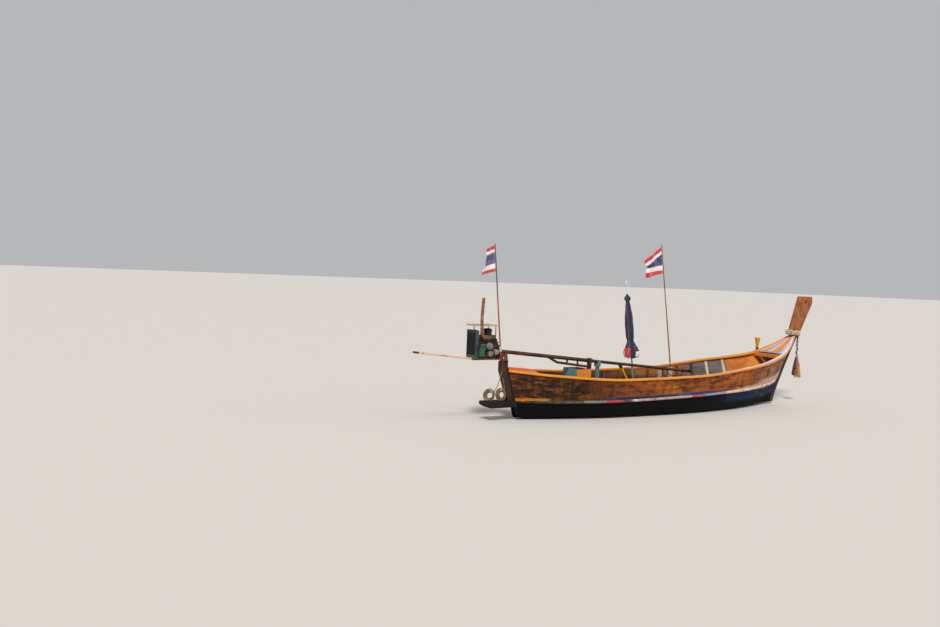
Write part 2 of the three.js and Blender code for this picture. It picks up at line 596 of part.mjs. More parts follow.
const bed = [
  box(BED_BACK, BED_FRONT, -98, -72, BED_TOP - BED_DEPTH, BED_TOP),
  box(BED_BACK, BED_FRONT, 72, 98, BED_TOP - BED_DEPTH, BED_TOP),
];
for (const [t0, t1, half] of [[BED_BACK, BED_BACK + 30, 98], [-430, -400, 98], [BED_FRONT - 50, BED_FRONT, 160]]) {
  bed.push(box(t0, t1, -half, half, BED_TOP - BED_DEPTH, BED_TOP));
}
add('engine_bed', union(...bed), '#6a4a34', 0.7, 0.4);
add('engine_block', box(-690, -262, -135, 135, BED_TOP + FIT, 1480), '#2a2824', 0.7, 0.5);
add('cylinder_head', box(-680, -272, -95, 95, 1480 + FIT, 1600), '#3a3632', 0.6, 0.6);
add('bell_housing', rod(at(-262 + FIT, 0, 1318), at(-180, 0, 1318), 128, 16, 92), '#5a5a54', 0.6, 0.5);
add('radiator', box(-775, -705, -165, 165, BED_TOP + FIT, 1700), '#1c1c1a', 0.8, 0.3);
add('top_plate', union(
  box(-800, -290, -162, 162, 1766, 1790),
  ...[[-650, -120], [-650, 120], [-330, -120], [-330, 120]].map(([t, y]) =>
    box(t - 10, t + 10, y - 9, y + 9, 1480 + FIT, 1770))), '#b8987a', 0.7);
add('air_cleaner', rod(at(-430, 0, 1600 + FIT), at(-430, 0, 1725), 85, 16), '#4a4440', 0.6, 0.4);
add('alternator', rod(at(-480, -136, 1400), at(-480, -236, 1400), 66, 16), '#8a8884', 0.5, 0.7);
add('starter_motor', rod(at(-345, -136, 1296), at(-345, -226, 1296), 50, 16), '#8a8884', 0.5, 0.7);
add('gear_case', box(-705 + FIT, -600, -215, -136, 1215, 1400), '#3a6a48', 0.6, 0.2);
const EXHAUST = [[-560, -96, 1540], [-600, -150, 1560], [-640, -172, 1640], [-668, -176, 1850],
  [-656, -170, 2060], [-640, -165, 2280]];
add('exhaust_stack', geometryOf(solid(tubeAlong(EXHAUST.map((p) => at(...p)), 29, 14, 10))
  .subtract(solid(box(-690, -262, -135, 135, 1100, 1480 + FIT)))
  .subtract(solid(box(-680, -272, -95.3, 95.3, 1480, 1600 + FIT)))
  .subtract(solid(box(-800 - FIT, -290, -162 - FIT, 300, 1766 - FIT, 1790 + FIT)))), '#6a3a28', 0.8, 0.4);
add('tiller', rod(at(-790, -62, 1168), at(-1985, -50, 1302), 16, 10), '#c8a08c', 0.6, 0.3);
const sternPoleFoot = at(-206, -137, BED_TOP + FIT);
const sternPoleWay = at(-420, -120, 3263).sub(sternPoleFoot).normalize();
const onSternPole = (d) => sternPoleFoot.clone().addScaledVector(sternPoleWay, d);
add('stern_flag_pole', rod(onSternPole(4), onSternPole(2098), 16, 10, 10), '#a0403a', 0.6);
flag('flag_stern', beside(onSternPole(2070), 17), sternPoleWay, 470, 290, 130, '#b8303c');

export default boat;
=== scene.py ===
# %% [markdown]
# # A wooden longtail boat
# This lesson dresses a plain CAD model of a longtail boat: a planked wooden hull with an
# upright prow plank, and an engine on a swivel whose long shaft lies inboard. The CAD part
# is loaded first as a fixed frame. Every piece made below is placed from its numbers and
# rides on one of its bodies: hull, swivel, motor or propeller.

import json
import math
import random

import bmesh
import bpy
from mathutils import Matrix, Quaternion, Vector


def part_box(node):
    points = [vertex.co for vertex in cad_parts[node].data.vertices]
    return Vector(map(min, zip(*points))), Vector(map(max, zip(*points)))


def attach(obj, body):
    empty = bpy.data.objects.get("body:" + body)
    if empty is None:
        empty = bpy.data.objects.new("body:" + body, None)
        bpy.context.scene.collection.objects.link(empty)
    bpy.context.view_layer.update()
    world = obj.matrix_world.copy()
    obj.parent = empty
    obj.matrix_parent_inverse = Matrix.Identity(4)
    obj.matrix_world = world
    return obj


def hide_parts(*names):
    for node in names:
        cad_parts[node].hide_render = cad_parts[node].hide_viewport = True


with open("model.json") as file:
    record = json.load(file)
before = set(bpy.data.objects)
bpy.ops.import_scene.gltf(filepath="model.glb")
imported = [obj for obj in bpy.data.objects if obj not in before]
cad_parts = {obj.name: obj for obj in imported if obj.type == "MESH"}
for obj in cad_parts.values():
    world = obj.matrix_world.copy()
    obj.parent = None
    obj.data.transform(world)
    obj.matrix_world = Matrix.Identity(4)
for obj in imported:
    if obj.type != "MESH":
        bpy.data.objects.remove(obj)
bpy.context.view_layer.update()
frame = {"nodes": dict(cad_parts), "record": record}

# %% [markdown]
# ## The camera
# The picture was taken from the starboard quarter, from a little above a standing eye.
# Lining up the sheer, the stem and the ground line gives the place, three angles and the
# lens. The small roll takes up the boat's own heel on the sand, so the boat itself stands
# upright in its frame.

# %% Camera
CAMERA_AT = Vector((-12.667, -13.25, 2.649))
CAMERA_YAW, CAMERA_PITCH, CAMERA_ROLL = (math.radians(a) for a in (30.63, -2.47, 2.22))
LENS_PIXELS = 849.8
IMAGE_WIDTH = 940
SENSOR = 36.0


def point_camera():
    ahead = Vector((
        math.sin(CAMERA_YAW) * math.cos(CAMERA_PITCH),
        math.cos(CAMERA_YAW) * math.cos(CAMERA_PITCH),
        math.sin(CAMERA_PITCH),
    ))
    level = Vector((math.cos(CAMERA_YAW), -math.sin(CAMERA_YAW), 0))
    upright = level.cross(ahead)
    right = math.cos(CAMERA_ROLL) * level + math.sin(CAMERA_ROLL) * upright
    up = math.cos(CAMERA_ROLL) * upright - math.sin(CAMERA_ROLL) * level
    data = bpy.data.cameras.new("camera")
    data.sensor_width = SENSOR
    data.lens = LENS_PIXELS / IMAGE_WIDTH * SENSOR
    camera = bpy.data.objects.new("camera", data)
    turn = Matrix((right, up, -ahead)).transposed().to_4x4()
    camera.matrix_world = Matrix.Translation(CAMERA_AT) @ turn
    bpy.context.scene.collection.objects.link(camera)
    bpy.context.scene.camera = camera
    return camera


print("lens", round(point_camera().data.lens, 2), "mm")

# %% [markdown]
# ## Colours and nodes
# Paint colours are written as sRGB hex, as a paint card gives them, and one function turns
# them into the linear values that a shader works in. One more function adds a node, sets it
# and links it, and every tree below is built with it.

# %% Helpers for materials
def paint(code):
    """Linear colour, with alpha, of an sRGB hex code."""
    parts = [int(code[i:i + 2], 16) / 255 for i in (1, 3, 5)]
    return (*[c / 12.92 if c <= 0.04045 else ((c + 0.055) / 1.055) ** 2.4 for c in parts], 1)


def add(tree, kind, into=None, **settings):
    """Add a node. into gives its sockets, by name or number, a value or another's output."""
    made = tree.nodes.new(kind)
    for name, value in settings.items():
        setattr(made, name, value)
    for socket, value in (into or {}).items():
        if isinstance(value, bpy.types.NodeSocket):
            tree.links.new(value, made.inputs[socket])
        else:
            made.inputs[socket].default_value = value
    return made


def finish_named(name, roughness, metallic=0.0, **sockets):
    """A material with its tree and its Principled shader."""
    made = bpy.data.materials.new(name)
    made.use_nodes = True
    shader = made.node_tree.nodes["Principled BSDF"]
    shader.inputs["Roughness"].default_value = roughness
    shader.inputs["Metallic"].default_value = metallic
    for socket, value in sockets.items():
        shader.inputs[socket.replace("_", " ")].default_value = value
    return made, made.node_tree, shader


def patches(tree, where, size, low, high, stretch=(1, 1, 1), detail=5.0, turn=(0, 0, 0)):
    """A mask from 0 to 1 with patches of about that size in metres."""
    placed = add(tree, "ShaderNodeMapping", {0: where, 2: turn, 3: stretch})
    cloud = add(tree, "ShaderNodeTexNoise", {0: placed.outputs[0], 2: 1 / size, 3: detail, 4: 0.6})
    return add(tree, "ShaderNodeMapRange", {0: cloud.outputs[0], 1: low, 2: high}).outputs[0]


def coats(tree, first, *layers):
    """The colour left by layers of paint: each is a mask and the colour it puts over the rest."""
    shade = paint(first) if isinstance(first, str) else first
    for mask, over in layers:
        over = paint(over) if isinstance(over, str) else over
        shade = add(tree, "ShaderNodeMix", {0: mask, 6: shade, 7: over}, data_type="RGBA").outputs[2]
    return shade


def both(tree, *masks):
    """The mask that is 1 only where all of them are."""
    made = masks[0]
    for mask in masks[1:]:
        made = add(tree, "ShaderNodeMath", {0: made, 1: mask}, operation="MULTIPLY").outputs[0]
    return made


def between(tree, value, rise, fall=None):
    """A mask that climbs from 0 to 1 over one stretch of a value and may drop again over another."""
    ramps = [rise] if fall is None else [rise, fall[::-1]]
    return both(tree, *(add(tree, "ShaderNodeMapRange", {0: value, 1: a, 2: b}).outputs[0] for a, b in ramps))


def dress(tree, shader, colour, roughness=None, height=None, depth=0.001):
    """Lead colour, roughness and relief into the shader."""
    tree.links.new(colour, shader.inputs["Base Color"])
    if roughness:
        mask, low, high = roughness
        rough = add(tree, "ShaderNodeMapRange", {0: mask, 3: low, 4: high}).outputs[0]
        tree.links.new(rough, shader.inputs["Roughness"])
    if height:
        bump = add(tree, "ShaderNodeBump", {"Strength": 0.6, "Distance": depth, "Height": height})
        tree.links.new(bump.outputs[0], shader.inputs["Normal"])


print("helpers ready")

# %% [markdown]
# ## Painted and bare wood
# The boat is hardwood plank. Some of it is varnished and sun-darkened, some is under gloss
# paint that has chipped to the wood, and some is bare and grey. One recipe serves them all:
# a base colour, a second colour in broad patches, fine grain drawn out along the plank, and
# small chips. The grain of the real wood is under a millimetre, so it is drawn at 4 mm to
# show in the picture at all.

# %% Wood finishes
GRAIN = 0.004


def wood(name, main, patch, chip, roughness, along=0, chips=(0.66, 0.72), patch_size=0.35,
         patch_share=(0.42, 0.68), relief=0.0012, coat=0.0):
    made, tree, shader = finish_named(name, roughness, Coat_Weight=coat, Coat_Roughness=0.25, Specular_IOR_Level=0.3)
    where = add(tree, "ShaderNodeTexCoord").outputs["Object"]
    stretch = [1.0, 1.0, 1.0]
    stretch[along] = 0.045
    grain = patches(tree, where, GRAIN * 2, 0.3, 0.75, stretch, 8)
    broad = patches(tree, where, patch_size, *patch_share, [0.4 if i == along else 1 for i in range(3)])
    small = patches(tree, where, 0.03, *chips, [0.35 if i == along else 1 for i in range(3)], 9)
    shade = coats(tree, main, (broad, patch))
    dark = add(tree, "ShaderNodeMix", {0: grain, 6: shade, 7: (0.72, 0.7, 0.68, 1)},
               data_type="RGBA", blend_type="MULTIPLY").outputs[2]
    uneven = add(tree, "ShaderNodeMath", {0: grain, 1: small}, operation="ADD").outputs[0]
    dress(tree, shader, coats(tree, dark, (small, chip)), (broad, roughness, min(1, roughness + 0.18)),
          uneven, relief)
    return made


ORANGE = wood("orange_gloss_paint", "#e8901c", "#dc7c12", "#8a4a1c", 0.34, coat=0.25)
ORANGE_ACROSS = wood("orange_gloss_paint_across", "#e08418", "#c86c12", "#7a4220", 0.36, along=1, coat=0.2)
ORANGE_RED = wood("orange_red_deck_paint", "#c85a1c", "#dc7418", "#8a3a1c", 0.45)
SKY = wood("pale_blue_paint", "#bcc4d8", "#a8b6cc", "#c89878", 0.45)
TEAL = wood("teal_paint", "#4a969c", "#6a7e84", "#4a3c30", 0.45, along=2)
YELLOW = wood("yellow_paint", "#e49a1c", "#cc8418", "#5c4424", 0.42, along=2)
PROW_WOOD = wood("weathered_prow_plank", "#ac6432", "#7c4628", "#54301e", 0.62, along=2, relief=0.003, patch_size=0.1)
STEM_WOOD = wood("worn_stem_timber", "#4c3024", "#2c1e18", "#7a6450", 0.7, along=2, relief=0.002)
SEAT_WOOD = wood("oiled_thwart", "#8a4a1e", "#5a3016", "#b4743c", 0.55, relief=0.0016)
GREY_WOOD = wood("silvered_bare_wood", "#7c6650", "#5c4a3a", "#40342a", 0.78, relief=0.002)
RIB_WOOD = wood("framing_wood", "#6a4630", "#442c1e", "#94704c", 0.7, along=1, relief=0.0016)
CREAM_RIB = wood("cream_painted_frames", "#dccaa8", "#bca684", "#7a5c40", 0.6, along=1, relief=0.0016)
TARRED = wood("tarred_timber", "#120d0a", "#20160f", "#3c3024", 0.75, relief=0.002)
PALE_POST = wood("limed_post", "#b4ac9a", "#948a78", "#665c50", 0.65, along=2)
POLE_WOOD = wood("pole_wood", "#946044", "#744834", "#b08868", 0.6, along=2)


def two_tone(name, lower, upper, height, blend=0.02):
    """Paint that changes at a height, as on a stick dipped or painted part of the way."""
    made, tree, shader = finish_named(name, 0.5)
    where = add(tree, "ShaderNodeTexCoord").outputs["Object"]
    level = add(tree, "ShaderNodeSeparateXYZ", {0: where}).outputs[2]
    chips = patches(tree, where, 0.03, 0.62, 0.7, (1, 1, 0.35), 8)
    colour = coats(tree, lower, (between(tree, level, (height - blend, height + blend)), upper), (chips, "#4c3428"))
    dress(tree, shader, colour, (chips, 0.45, 0.75), chips, 0.0008)
    return made


RED_POLE = two_tone("red_and_green_pole", "#b03028", "#4a4c44", 2.30)
UMBRELLA_STICK = two_tone("dark_stick_with_pale_top", "#30221e", "#c8d0de", 2.36)
print("wood finishes:", len(bpy.data.materials))

# %% [markdown]
# ## Metals, rubber and rope
# The steel of frame and tail has a thin brown rust with darker oil on it, the engine is
# black with oil and dust, and the propeller is bronze polished by sand. Rust is rough and
# not metallic, so its mask drives both colour and the metallic value.

# %% Metal, rubber and rope finishes
def metal(name, clean, rust, roughness, share, size=0.05, metallic=0.9, relief=0.0008):
    made, tree, shader = finish_named(name, roughness, metallic)
    where = add(tree, "ShaderNodeTexCoord").outputs["Object"]
    broad = patches(tree, where, size * 3, *share)
    fine = patches(tree, where, size / 6, 0.35, 0.75, detail=8)
    stain = add(tree, "ShaderNodeMath", {0: both(tree, broad, fine), 1: broad}, operation="ADD",
                use_clamp=True).outputs[0]
    dull = add(tree, "ShaderNodeMapRange", {0: stain, 3: metallic, 4: 0.05}).outputs[0]
    tree.links.new(dull, shader.inputs["Metallic"])
    dress(tree, shader, coats(tree, clean, (stain, rust)), (stain, roughness, 0.85), fine, relief)
    return made


RUSTY = metal("rusty_steel_tube", "#3c2418", "#6a3a20", 0.5, (0.35, 0.6), relief=0.0012, metallic=0.3)
TAIL_STEEL = metal("oiled_tail_steel", "#38221a", "#50301c", 0.42, (0.45, 0.7), size=0.12, metallic=0.4)
EXHAUST_STEEL = metal("burnt_exhaust_pipe", "#94603a", "#643a20", 0.6, (0.45, 0.7), metallic=0.1)
BED_STEEL = metal("brown_bed_steel", "#6a3420", "#7a4426", 0.55, (0.35, 0.6), metallic=0.2)
BLOCK = metal("oily_cast_iron", "#15120f", "#2c221a", 0.55, (0.45, 0.7), metallic=0.3, relief=0.0016)
CAST_ALLOY = metal("cast_aluminium", "#8c8a86", "#4c463c", 0.42, (0.45, 0.75), metallic=0.5)
DARK_PAINTED = metal("black_painted_sheet", "#121110", "#3a281c", 0.5, (0.55, 0.8), metallic=0.1)
OLIVE_COVER = metal("olive_painted_cover", "#4c4828", "#8a7450", 0.5, (0.5, 0.72), metallic=0.1)
BLUE_SHEET = metal("blue_grey_sheet", "#343c44", "#201c1a", 0.5, (0.45, 0.7), metallic=0.1)
GREEN_ENAMEL = metal("green_engine_enamel", "#1f5a3c", "#20241a", 0.45, (0.5, 0.75), metallic=0.1)
BRONZE = metal("tarnished_bronze", "#4a3824", "#1c1611", 0.4, (0.45, 0.7), metallic=0.6)
WORN_STEEL = metal("bare_worn_steel", "#8a8078", "#6a4430", 0.38, (0.5, 0.75), metallic=0.6)
PALE_TUBE = metal("pale_painted_tube", "#d8a88c", "#8a5438", 0.5, (0.52, 0.78), metallic=0.05)


def plain_fibre(name, colour, shade, roughness, size, relief):
    made, tree, shader = finish_named(name, roughness, Sheen_Weight=0.3)
    where = add(tree, "ShaderNodeTexCoord").outputs["Object"]
    mask = patches(tree, where, size, 0.35, 0.7, detail=8)
    dress(tree, shader, coats(tree, colour, (mask, shade)), None, mask, relief)
    return made


# The rope's near-black patches are partly its own uneven tone and partly painted shade for the dark gaps between the
# turns of the coils.
ROPE = plain_fibre("laid_hemp_rope", "#8e6c44", "#2c1c10", 0.9, 0.03, 0.003)
DARK_ROPE = plain_fibre("tarred_rope", "#4a3424", "#241812", 0.9, 0.012, 0.002)
CREAM_ROPE = plain_fibre("cream_cotton_rope", "#e0d4bc", "#a89478", 0.9, 0.01, 0.002)
RUBBER = plain_fibre("perished_rubber", "#17171a", "#2c2a2a", 0.8, 0.02, 0.001)
print("materials:", len(bpy.data.materials))

# %% [markdown]
# ## Making and joining pieces
# A piece is a mesh with its place in its own points, so its object stays at the origin.
# Most of the boat is a row of rings skinned together, as a boat is lofted from its sections.
# The skin is laid out flat as well: U is metres along, V is metres round the ring.

# %% Helpers for meshes
def piece(name, mesh, body, *materials, replaces=(), slot=None, smooth=True):
    """Link a mesh as a piece that rides on a body and may stand for CAD nodes."""
    made = bpy.data.objects.new(name, mesh)
    bpy.context.scene.collection.objects.link(made)
    for material in materials:
        if made.data.materials.find(material.name) < 0:
            made.data.materials.append(material)
    if smooth:
        mesh.polygons.foreach_set("use_smooth", [True] * len(mesh.polygons))
    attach(made, body)
    if replaces:
        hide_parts(*replaces)
    return made


def skin(name, rings, closed=True, caps=True, paints=None, bm=None):
    """Mesh through rings of points of one length. paints(i, j) is a face's material number."""
    own = bm is None
    bm = bm or bmesh.new()
    uv = bm.loops.layers.uv.verify()
    rows = [[bm.verts.new(p) for p in ring] for ring in rings]
    along = [0.0]
    for a, b in zip(rings, rings[1:]):
        along.append(along[-1] + (sum(((Vector(p) - Vector(q)).length for p, q in zip(a, b))) / len(a)))
    middle = rings[len(rings) // 2]
    around = [0.0]
    for j in range(len(middle)):
        around.append(around[-1] + (Vector(middle[j]) - Vector(middle[(j + 1) % len(middle)])).length)
    n = len(rings[0])
    for i in range(len(rows) - 1):
        for j in range(n if closed else n - 1):
            k = (j + 1) % n
            face = bm.faces.new((rows[i][j], rows[i][k], rows[i + 1][k], rows[i + 1][j]))
            if paints:
                face.material_index = paints(i, j)
            corners = ((along[i], around[j]), (along[i], around[j + 1]),
                       (along[i + 1], around[j + 1]), (along[i + 1], around[j]))
            for loop, at in zip(face.loops, corners):
                loop[uv].uv = at
    if caps and closed:
        bm.faces.new(rows[0][::-1])
        bm.faces.new(rows[-1])
    if not own:
        return bm
    bmesh.ops.recalc_face_normals(bm, faces=bm.faces)
    mesh = bpy.data.meshes.new(name)
    bm.to_mesh(mesh)
    bm.free()
    return mesh


def finished_copy(node, material, bevel=0.003, name=None, segments=2):
    """A copy of a CAD node with its edges eased, standing for the node."""
    source = frame["nodes"][node]
    bm = bmesh.new()
    bm.from_mesh(source.data)
    bmesh.ops.remove_doubles(bm, verts=bm.verts, dist=1e-5)
    bmesh.ops.dissolve_limit(bm, angle_limit=math.radians(1.5), verts=bm.verts, edges=bm.edges)
    bmesh.ops.recalc_face_normals(bm, faces=bm.faces)
    sharp = [e for e in bm.edges if len(e.link_faces) == 2 and e.calc_face_angle() > math.radians(28)]
    if bevel:
        bmesh.ops.bevel(bm, geom=sharp, offset=bevel, segments=segments, profile=0.6, affect="EDGES",
                        clamp_overlap=True)
    mesh = bpy.data.meshes.new(name or node + "_finished")
    bm.to_mesh(mesh)
    bm.free()
    made = piece(name or node + "_finished", mesh, body_with(node), material, replaces=(node,))
    made.data.set_sharp_from_angle(angle=math.radians(35))
    return made


def body_with(node):
    return next(b for b, nodes in frame["record"]["behaviour"]["bodies"].items() if node in nodes)


def tube_rings(points, radius, sides=12):
    """Rings round a line of points. radius is a number or a function of the share along it."""
    points = [Vector(p) for p in points]
    rings = []
    side = None
    for i, p in enumerate(points):
        way = (points[min(i + 1, len(points) - 1)] - points[max(i - 1, 0)]).normalized()
        if side is None:
            side = way.orthogonal().normalized()
        side = (side - way * side.dot(way)).normalized()
        up = way.cross(side)
        r = radius(i / (len(points) - 1)) if callable(radius) else radius
        rings.append([p + r * (math.cos(a) * side + math.sin(a) * up)
                      for a in (2 * math.pi * k / sides for k in range(sides))])
    return rings


def tube(name, points, radius, body, material, sides=12, **options):
    return piece(name, skin(name, tube_rings(points, radius, sides)), body, material, **options)


def joined(name, meshes, body, *materials, **options):
    """One piece of several meshes that are given as (mesh, material number)."""
    bm = bmesh.new()
    for mesh, number in meshes:
        first = len(bm.faces)
        bm.from_mesh(mesh)
        bm.faces.ensure_lookup_table()
        for face in bm.faces[first:]:
            face.material_index = number
    made = bpy.data.meshes.new(name)
    bm.to_mesh(made)
    bm.free()
    return piece(name, made, body, *materials, **options)


def curve_through(points, count):
    """Points evenly spaced on a smooth line through the given ones."""
    points = [Vector(p) for p in points]
    ends = [2 * points[0] - points[1], *points, 2 * points[-1] - points[-2]]
    dense = []
    for i in range(len(points) - 1):
        a, b, c, d = ends[i:i + 4]
        for k in range(16):
            t = k / 16
            dense.append(0.5 * (2 * b + (c - a) * t + (2 * a - 5 * b + 4 * c - d) * t * t
                                + (3 * b - a - 3 * c + d) * t ** 3))
    dense.append(points[-1])
    lengths = [0.0]
    for p, q in zip(dense, dense[1:]):
        lengths.append(lengths[-1] + (q - p).length)
    out = []
    j = 0
    for k in range(count):
        goal = lengths[-1] * k / (count - 1)
        while j < len(dense) - 2 and lengths[j + 1] < goal:
            j += 1
        span = max(lengths[j + 1] - lengths[j], 1e-9)
        out.append(dense[j].lerp(dense[j + 1], (goal - lengths[j]) / span))
    return out


print("mesh helpers ready")

# %% [markdown]
# ## The mooring ropes
# Two coils of laid rope stand on the step behind the sternpost. A coil is one rope wound
# turn after turn, so it is one long line here as well: the turns fill the round section of
# the CAD ring in layers, each a rope's width from the next, and the line ends run up to the
# post where the rope is made fast. Cords come before other pieces, because their solids
# would have to move in the CAD if they spread too far.

# %% Rope coils
ROPE_THICK = 0.016
STEP_TOP = 0.365
COILS = (
    dict(node="rope_coil_aft", centre=(-4.386, -0.088, 0.489), axis=(0.16, 1, 0.06), ring=0.086, body=0.036,
         post=(-4.128, -0.062, 0.90)),
    dict(node="rope_coil_side", centre=(-4.138, -0.098, 0.491), axis=(-0.1, 1, -0.06), ring=0.088, body=0.034,
         post=(-4.105, -0.062, 0.80)),
)


LOOSE_TURNS = 2


def turn_places(pitch):
    """Where each turn lies in the ring's round section: one, four round it, and two loose ones outside."""
    near = [(pitch * math.cos(math.pi * k / 2), pitch * math.sin(math.pi * k / 2)) for k in range(4)]
    far = [(1.4 * pitch * math.cos(a), 1.4 * pitch * math.sin(a))
           for a in (math.pi / 6 + 2 * math.pi * k / LOOSE_TURNS for k in range(LOOSE_TURNS))]
    return [(0.0, 0.0), *near, *far]


def coil_line(row):
    axis = Vector(row["axis"]).normalized()
    right = axis.cross(Vector((0, 0, 1))).normalized()
    up = right.cross(axis)
    centre = Vector(row["centre"])
    places = turn_places(ROPE_THICK * 1.5)
    steps = 20
    line = []
    for n, (a, b) in enumerate(places):
        after = places[min(n + 1, len(places) - 1)]
        for k in range(steps):
            shift = max(0.0, (k / steps - 0.8) / 0.2)
            out = a + (after[0] - a) * shift
            side = b + (after[1] - b) * shift
            angle = 2 * math.pi * (n + k / steps) + 0.6
            sag = 1 + 0.06 * math.sin(angle - 1.2) + 0.03 * math.sin(2 * angle + 1)
            spoke = math.cos(angle) * right + math.sin(angle) * up
            line.append(centre + spoke * (row["ring"] * sag + out) + axis * (side + 0.01 * math.sin(angle + 0.5)))
    return line


def length_of(line):
    return sum((Vector(b) - Vector(a)).length for a, b in zip(line, line[1:]))


def rope_coil(row):
    wound = coil_line(row)
    post = Vector(row["post"])
    start = wound[-1]
    rise = [start.lerp(post, t) + Vector((0, -0.03 * math.sin(math.pi * t), -0.02 * math.sin(math.pi * t)))
            for t in (0.25, 0.5, 0.75, 1.0)]
    line = [tuple(p) for p in curve_through([*rise[::-1], start], 16)[:-1] + wound[::-1]]
    curve = bpy.data.curves.new(row["node"] + "_rope", "CURVE")
    curve.dimensions = "3D"
    curve.bevel_depth = ROPE_THICK / 2
    curve.bevel_resolution = 2
    spline = curve.splines.new("POLY")
    spline.points.add(len(line) - 1)
    for p, place in zip(spline.points, line):
        p.co = (*place, 1)
    made = bpy.data.objects.new(row["node"] + "_rope", curve)
    bpy.context.scene.collection.objects.link(made)
    made.data.materials.append(ROPE)
    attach(made, "hull")
    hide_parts(row["node"])
    return length_of(line)


for coil in COILS:
    print(coil["node"], "is", round(rope_coil(coil), 1), "m of rope")

# %% [markdown]
# ## The lines of the hull
# A hull is drawn as a few long curves: the sheer along the top edge, the chine where the
# side turns under, the turn of the floor, and the bottom. Each row of the table is a station
# along the boat and gives the height and half-breadth of those curves. Smooth curves through
# the rows give every piece that follows the hull, so planks, ribs, caps and decks all fit.

# %% Hull lines
HALF_LENGTH = 4.0
PLANKING = 0.03
CAP_HEIGHT = 0.045
CAP_INSIDE = 0.042
CAP_WIDENING = 0.05
CAP_OUTSIDE = 0.024
FIT = 0.0003
RIB_DEPTH = 0.034
FORWARD_POWER = 1.17
LINES = (
    dict(u=0, ts=0, tk=250, zs=908, bs=115, zc=298, bc=104, zf=70, bf=92, zk=32, bk=45),
    dict(u=0.1, ts=800, tk=950, zs=838, bs=523, zc=324, bc=440, zf=70, bf=300, zk=25, bk=110),
    dict(u=0.28, ts=2250, tk=2250, zs=760, bs=804, zc=336, bc=720, zf=58, bf=520, zk=25, bk=185),
    dict(u=0.52, ts=4150, tk=4000, zs=783, bs=845, zc=370, bc=770, zf=55, bf=590, zk=25, bk=185),
    dict(u=0.72, ts=5750, tk=5380, zs=918, bs=802, zc=415, bc=680, zf=58, bf=480, zk=25, bk=185),
    dict(u=0.88, ts=7050, tk=6520, zs=1095, bs=480, zc=450, bc=370, zf=86, bf=225, zk=27, bk=110),
    dict(u=0.95, ts=7560, tk=6950, zs=1290, bs=285, zc=490, bc=200, zf=112, bf=112, zk=36, bk=60),
    dict(u=1, ts=8000, tk=7250, zs=1560, bs=45, zc=515, bc=45, zf=150, bf=45, zk=55, bk=45),
)


def hull_line(key):
    """A curve through one column of the table, that never overshoots its rows."""
    xs = [row["u"] for row in LINES]
    ys = [row[key] / 1000 for row in LINES]
    steps = [(b - a) / (d - c) for a, b, c, d in zip(ys, ys[1:], xs, xs[1:])]
    slopes = [steps[0]]
    slopes += [2 * a * b / (a + b) if a * b > 0 else 0 for a, b in zip(steps, steps[1:])]
    slopes.append(steps[-1])

    def at(u):
        i = max(0, min(len(xs) - 2, sum(u > x for x in xs[1:])))
        h = xs[i + 1] - xs[i]
        s = (u - xs[i]) / h
        return ((1 + 2 * s) * (1 - s) ** 2 * ys[i] + s * (1 - s) ** 2 * h * slopes[i]
                + s * s * (3 - 2 * s) * ys[i + 1] + s * s * (s - 1) * h * slopes[i + 1])

    return at


HULL = {key: hull_line(key) for key in LINES[0] if key != "u"}


def t_at(u, z):
    """Distance from the transom's top edge at a height, as the stations rake."""
    low, high = HULL["zk"](u), HULL["zs"](u)
    share = max(0.0, (z - low) / (high - low))
    return HULL["tk"](u) + (HULL["ts"](u) - HULL["tk"](u)) * share ** FORWARD_POWER


def u_at_sheer(t):
    low, high = 0.0, 1.0
    for _ in range(40):
        middle = (low + high) / 2
        low, high = (middle, high) if HULL["ts"](middle) < t else (low, middle)
    return low


def eased_step(x, low, high):
    x = max(0.0, min(1.0, (x - low) / (high - low)))
    return x * x * (3 - 2 * x)


def cap_inside(u):
    """How far the gunwale cap reaches in from the sheer: wider towards the bow."""
    return CAP_INSIDE + CAP_WIDENING * eased_step(u, 0.6, 0.86) * (1 - eased_step(u, 0.93, 1))


def section_point(u, p):
    """(y, z) on half a section: p runs 0 bottom, 1 turn of floor, 2 chine, 3 sheer."""
    marks = [Vector((HULL["b" + k](u), HULL["z" + k](u))) for k in "kfcs"]
    i = min(2, int(p))
    t = p - i
    a, b, c, d = marks[max(0, i - 1)], marks[i], marks[i + 1], marks[min(3, i + 2)]
    v, w = (c - a) / 2, (d - b) / 2
    return (2 * b - 2 * c + v + w) * t ** 3 + (3 * c - 3 * b - 2 * v - w) * t * t + v * t + b


def section_inset(u, p, inset):
    """The same point moved square to the skin, inwards for a positive inset."""
    here = section_point(u, p)
    low, high = section_point(u, max(0.0, p - 0.02)), section_point(u, min(3.0, p + 0.02))
    along = (high - low).normalized()
    return Vector((max(0.001, here.x - inset * along.y), here.y + inset * along.x))


def on_hull(u, p, inset=0.0, side=1):
    y, z = section_inset(u, p, inset)
    return Vector((t_at(u, z) - HALF_LENGTH, side * y, z))


print("beam", round(2 * max(HULL["bs"](k / 50) for k in range(51)), 3), "m at the sheer")

# %% [markdown]
# ## The planking
# The outside of the hull is carvel planking: planks laid edge to edge with a caulked seam
# between. The seams are pressed into the skin as shallow grooves, because in raking light a
# seam is a shadow and not a line of paint. The paint scheme follows the girth of the
# section, so it is worked out from the skin's own UV map: U is metres from the transom and
# V is the girth number, 0 bottom, 1 turn of floor, 2 chine, 3 sheer.

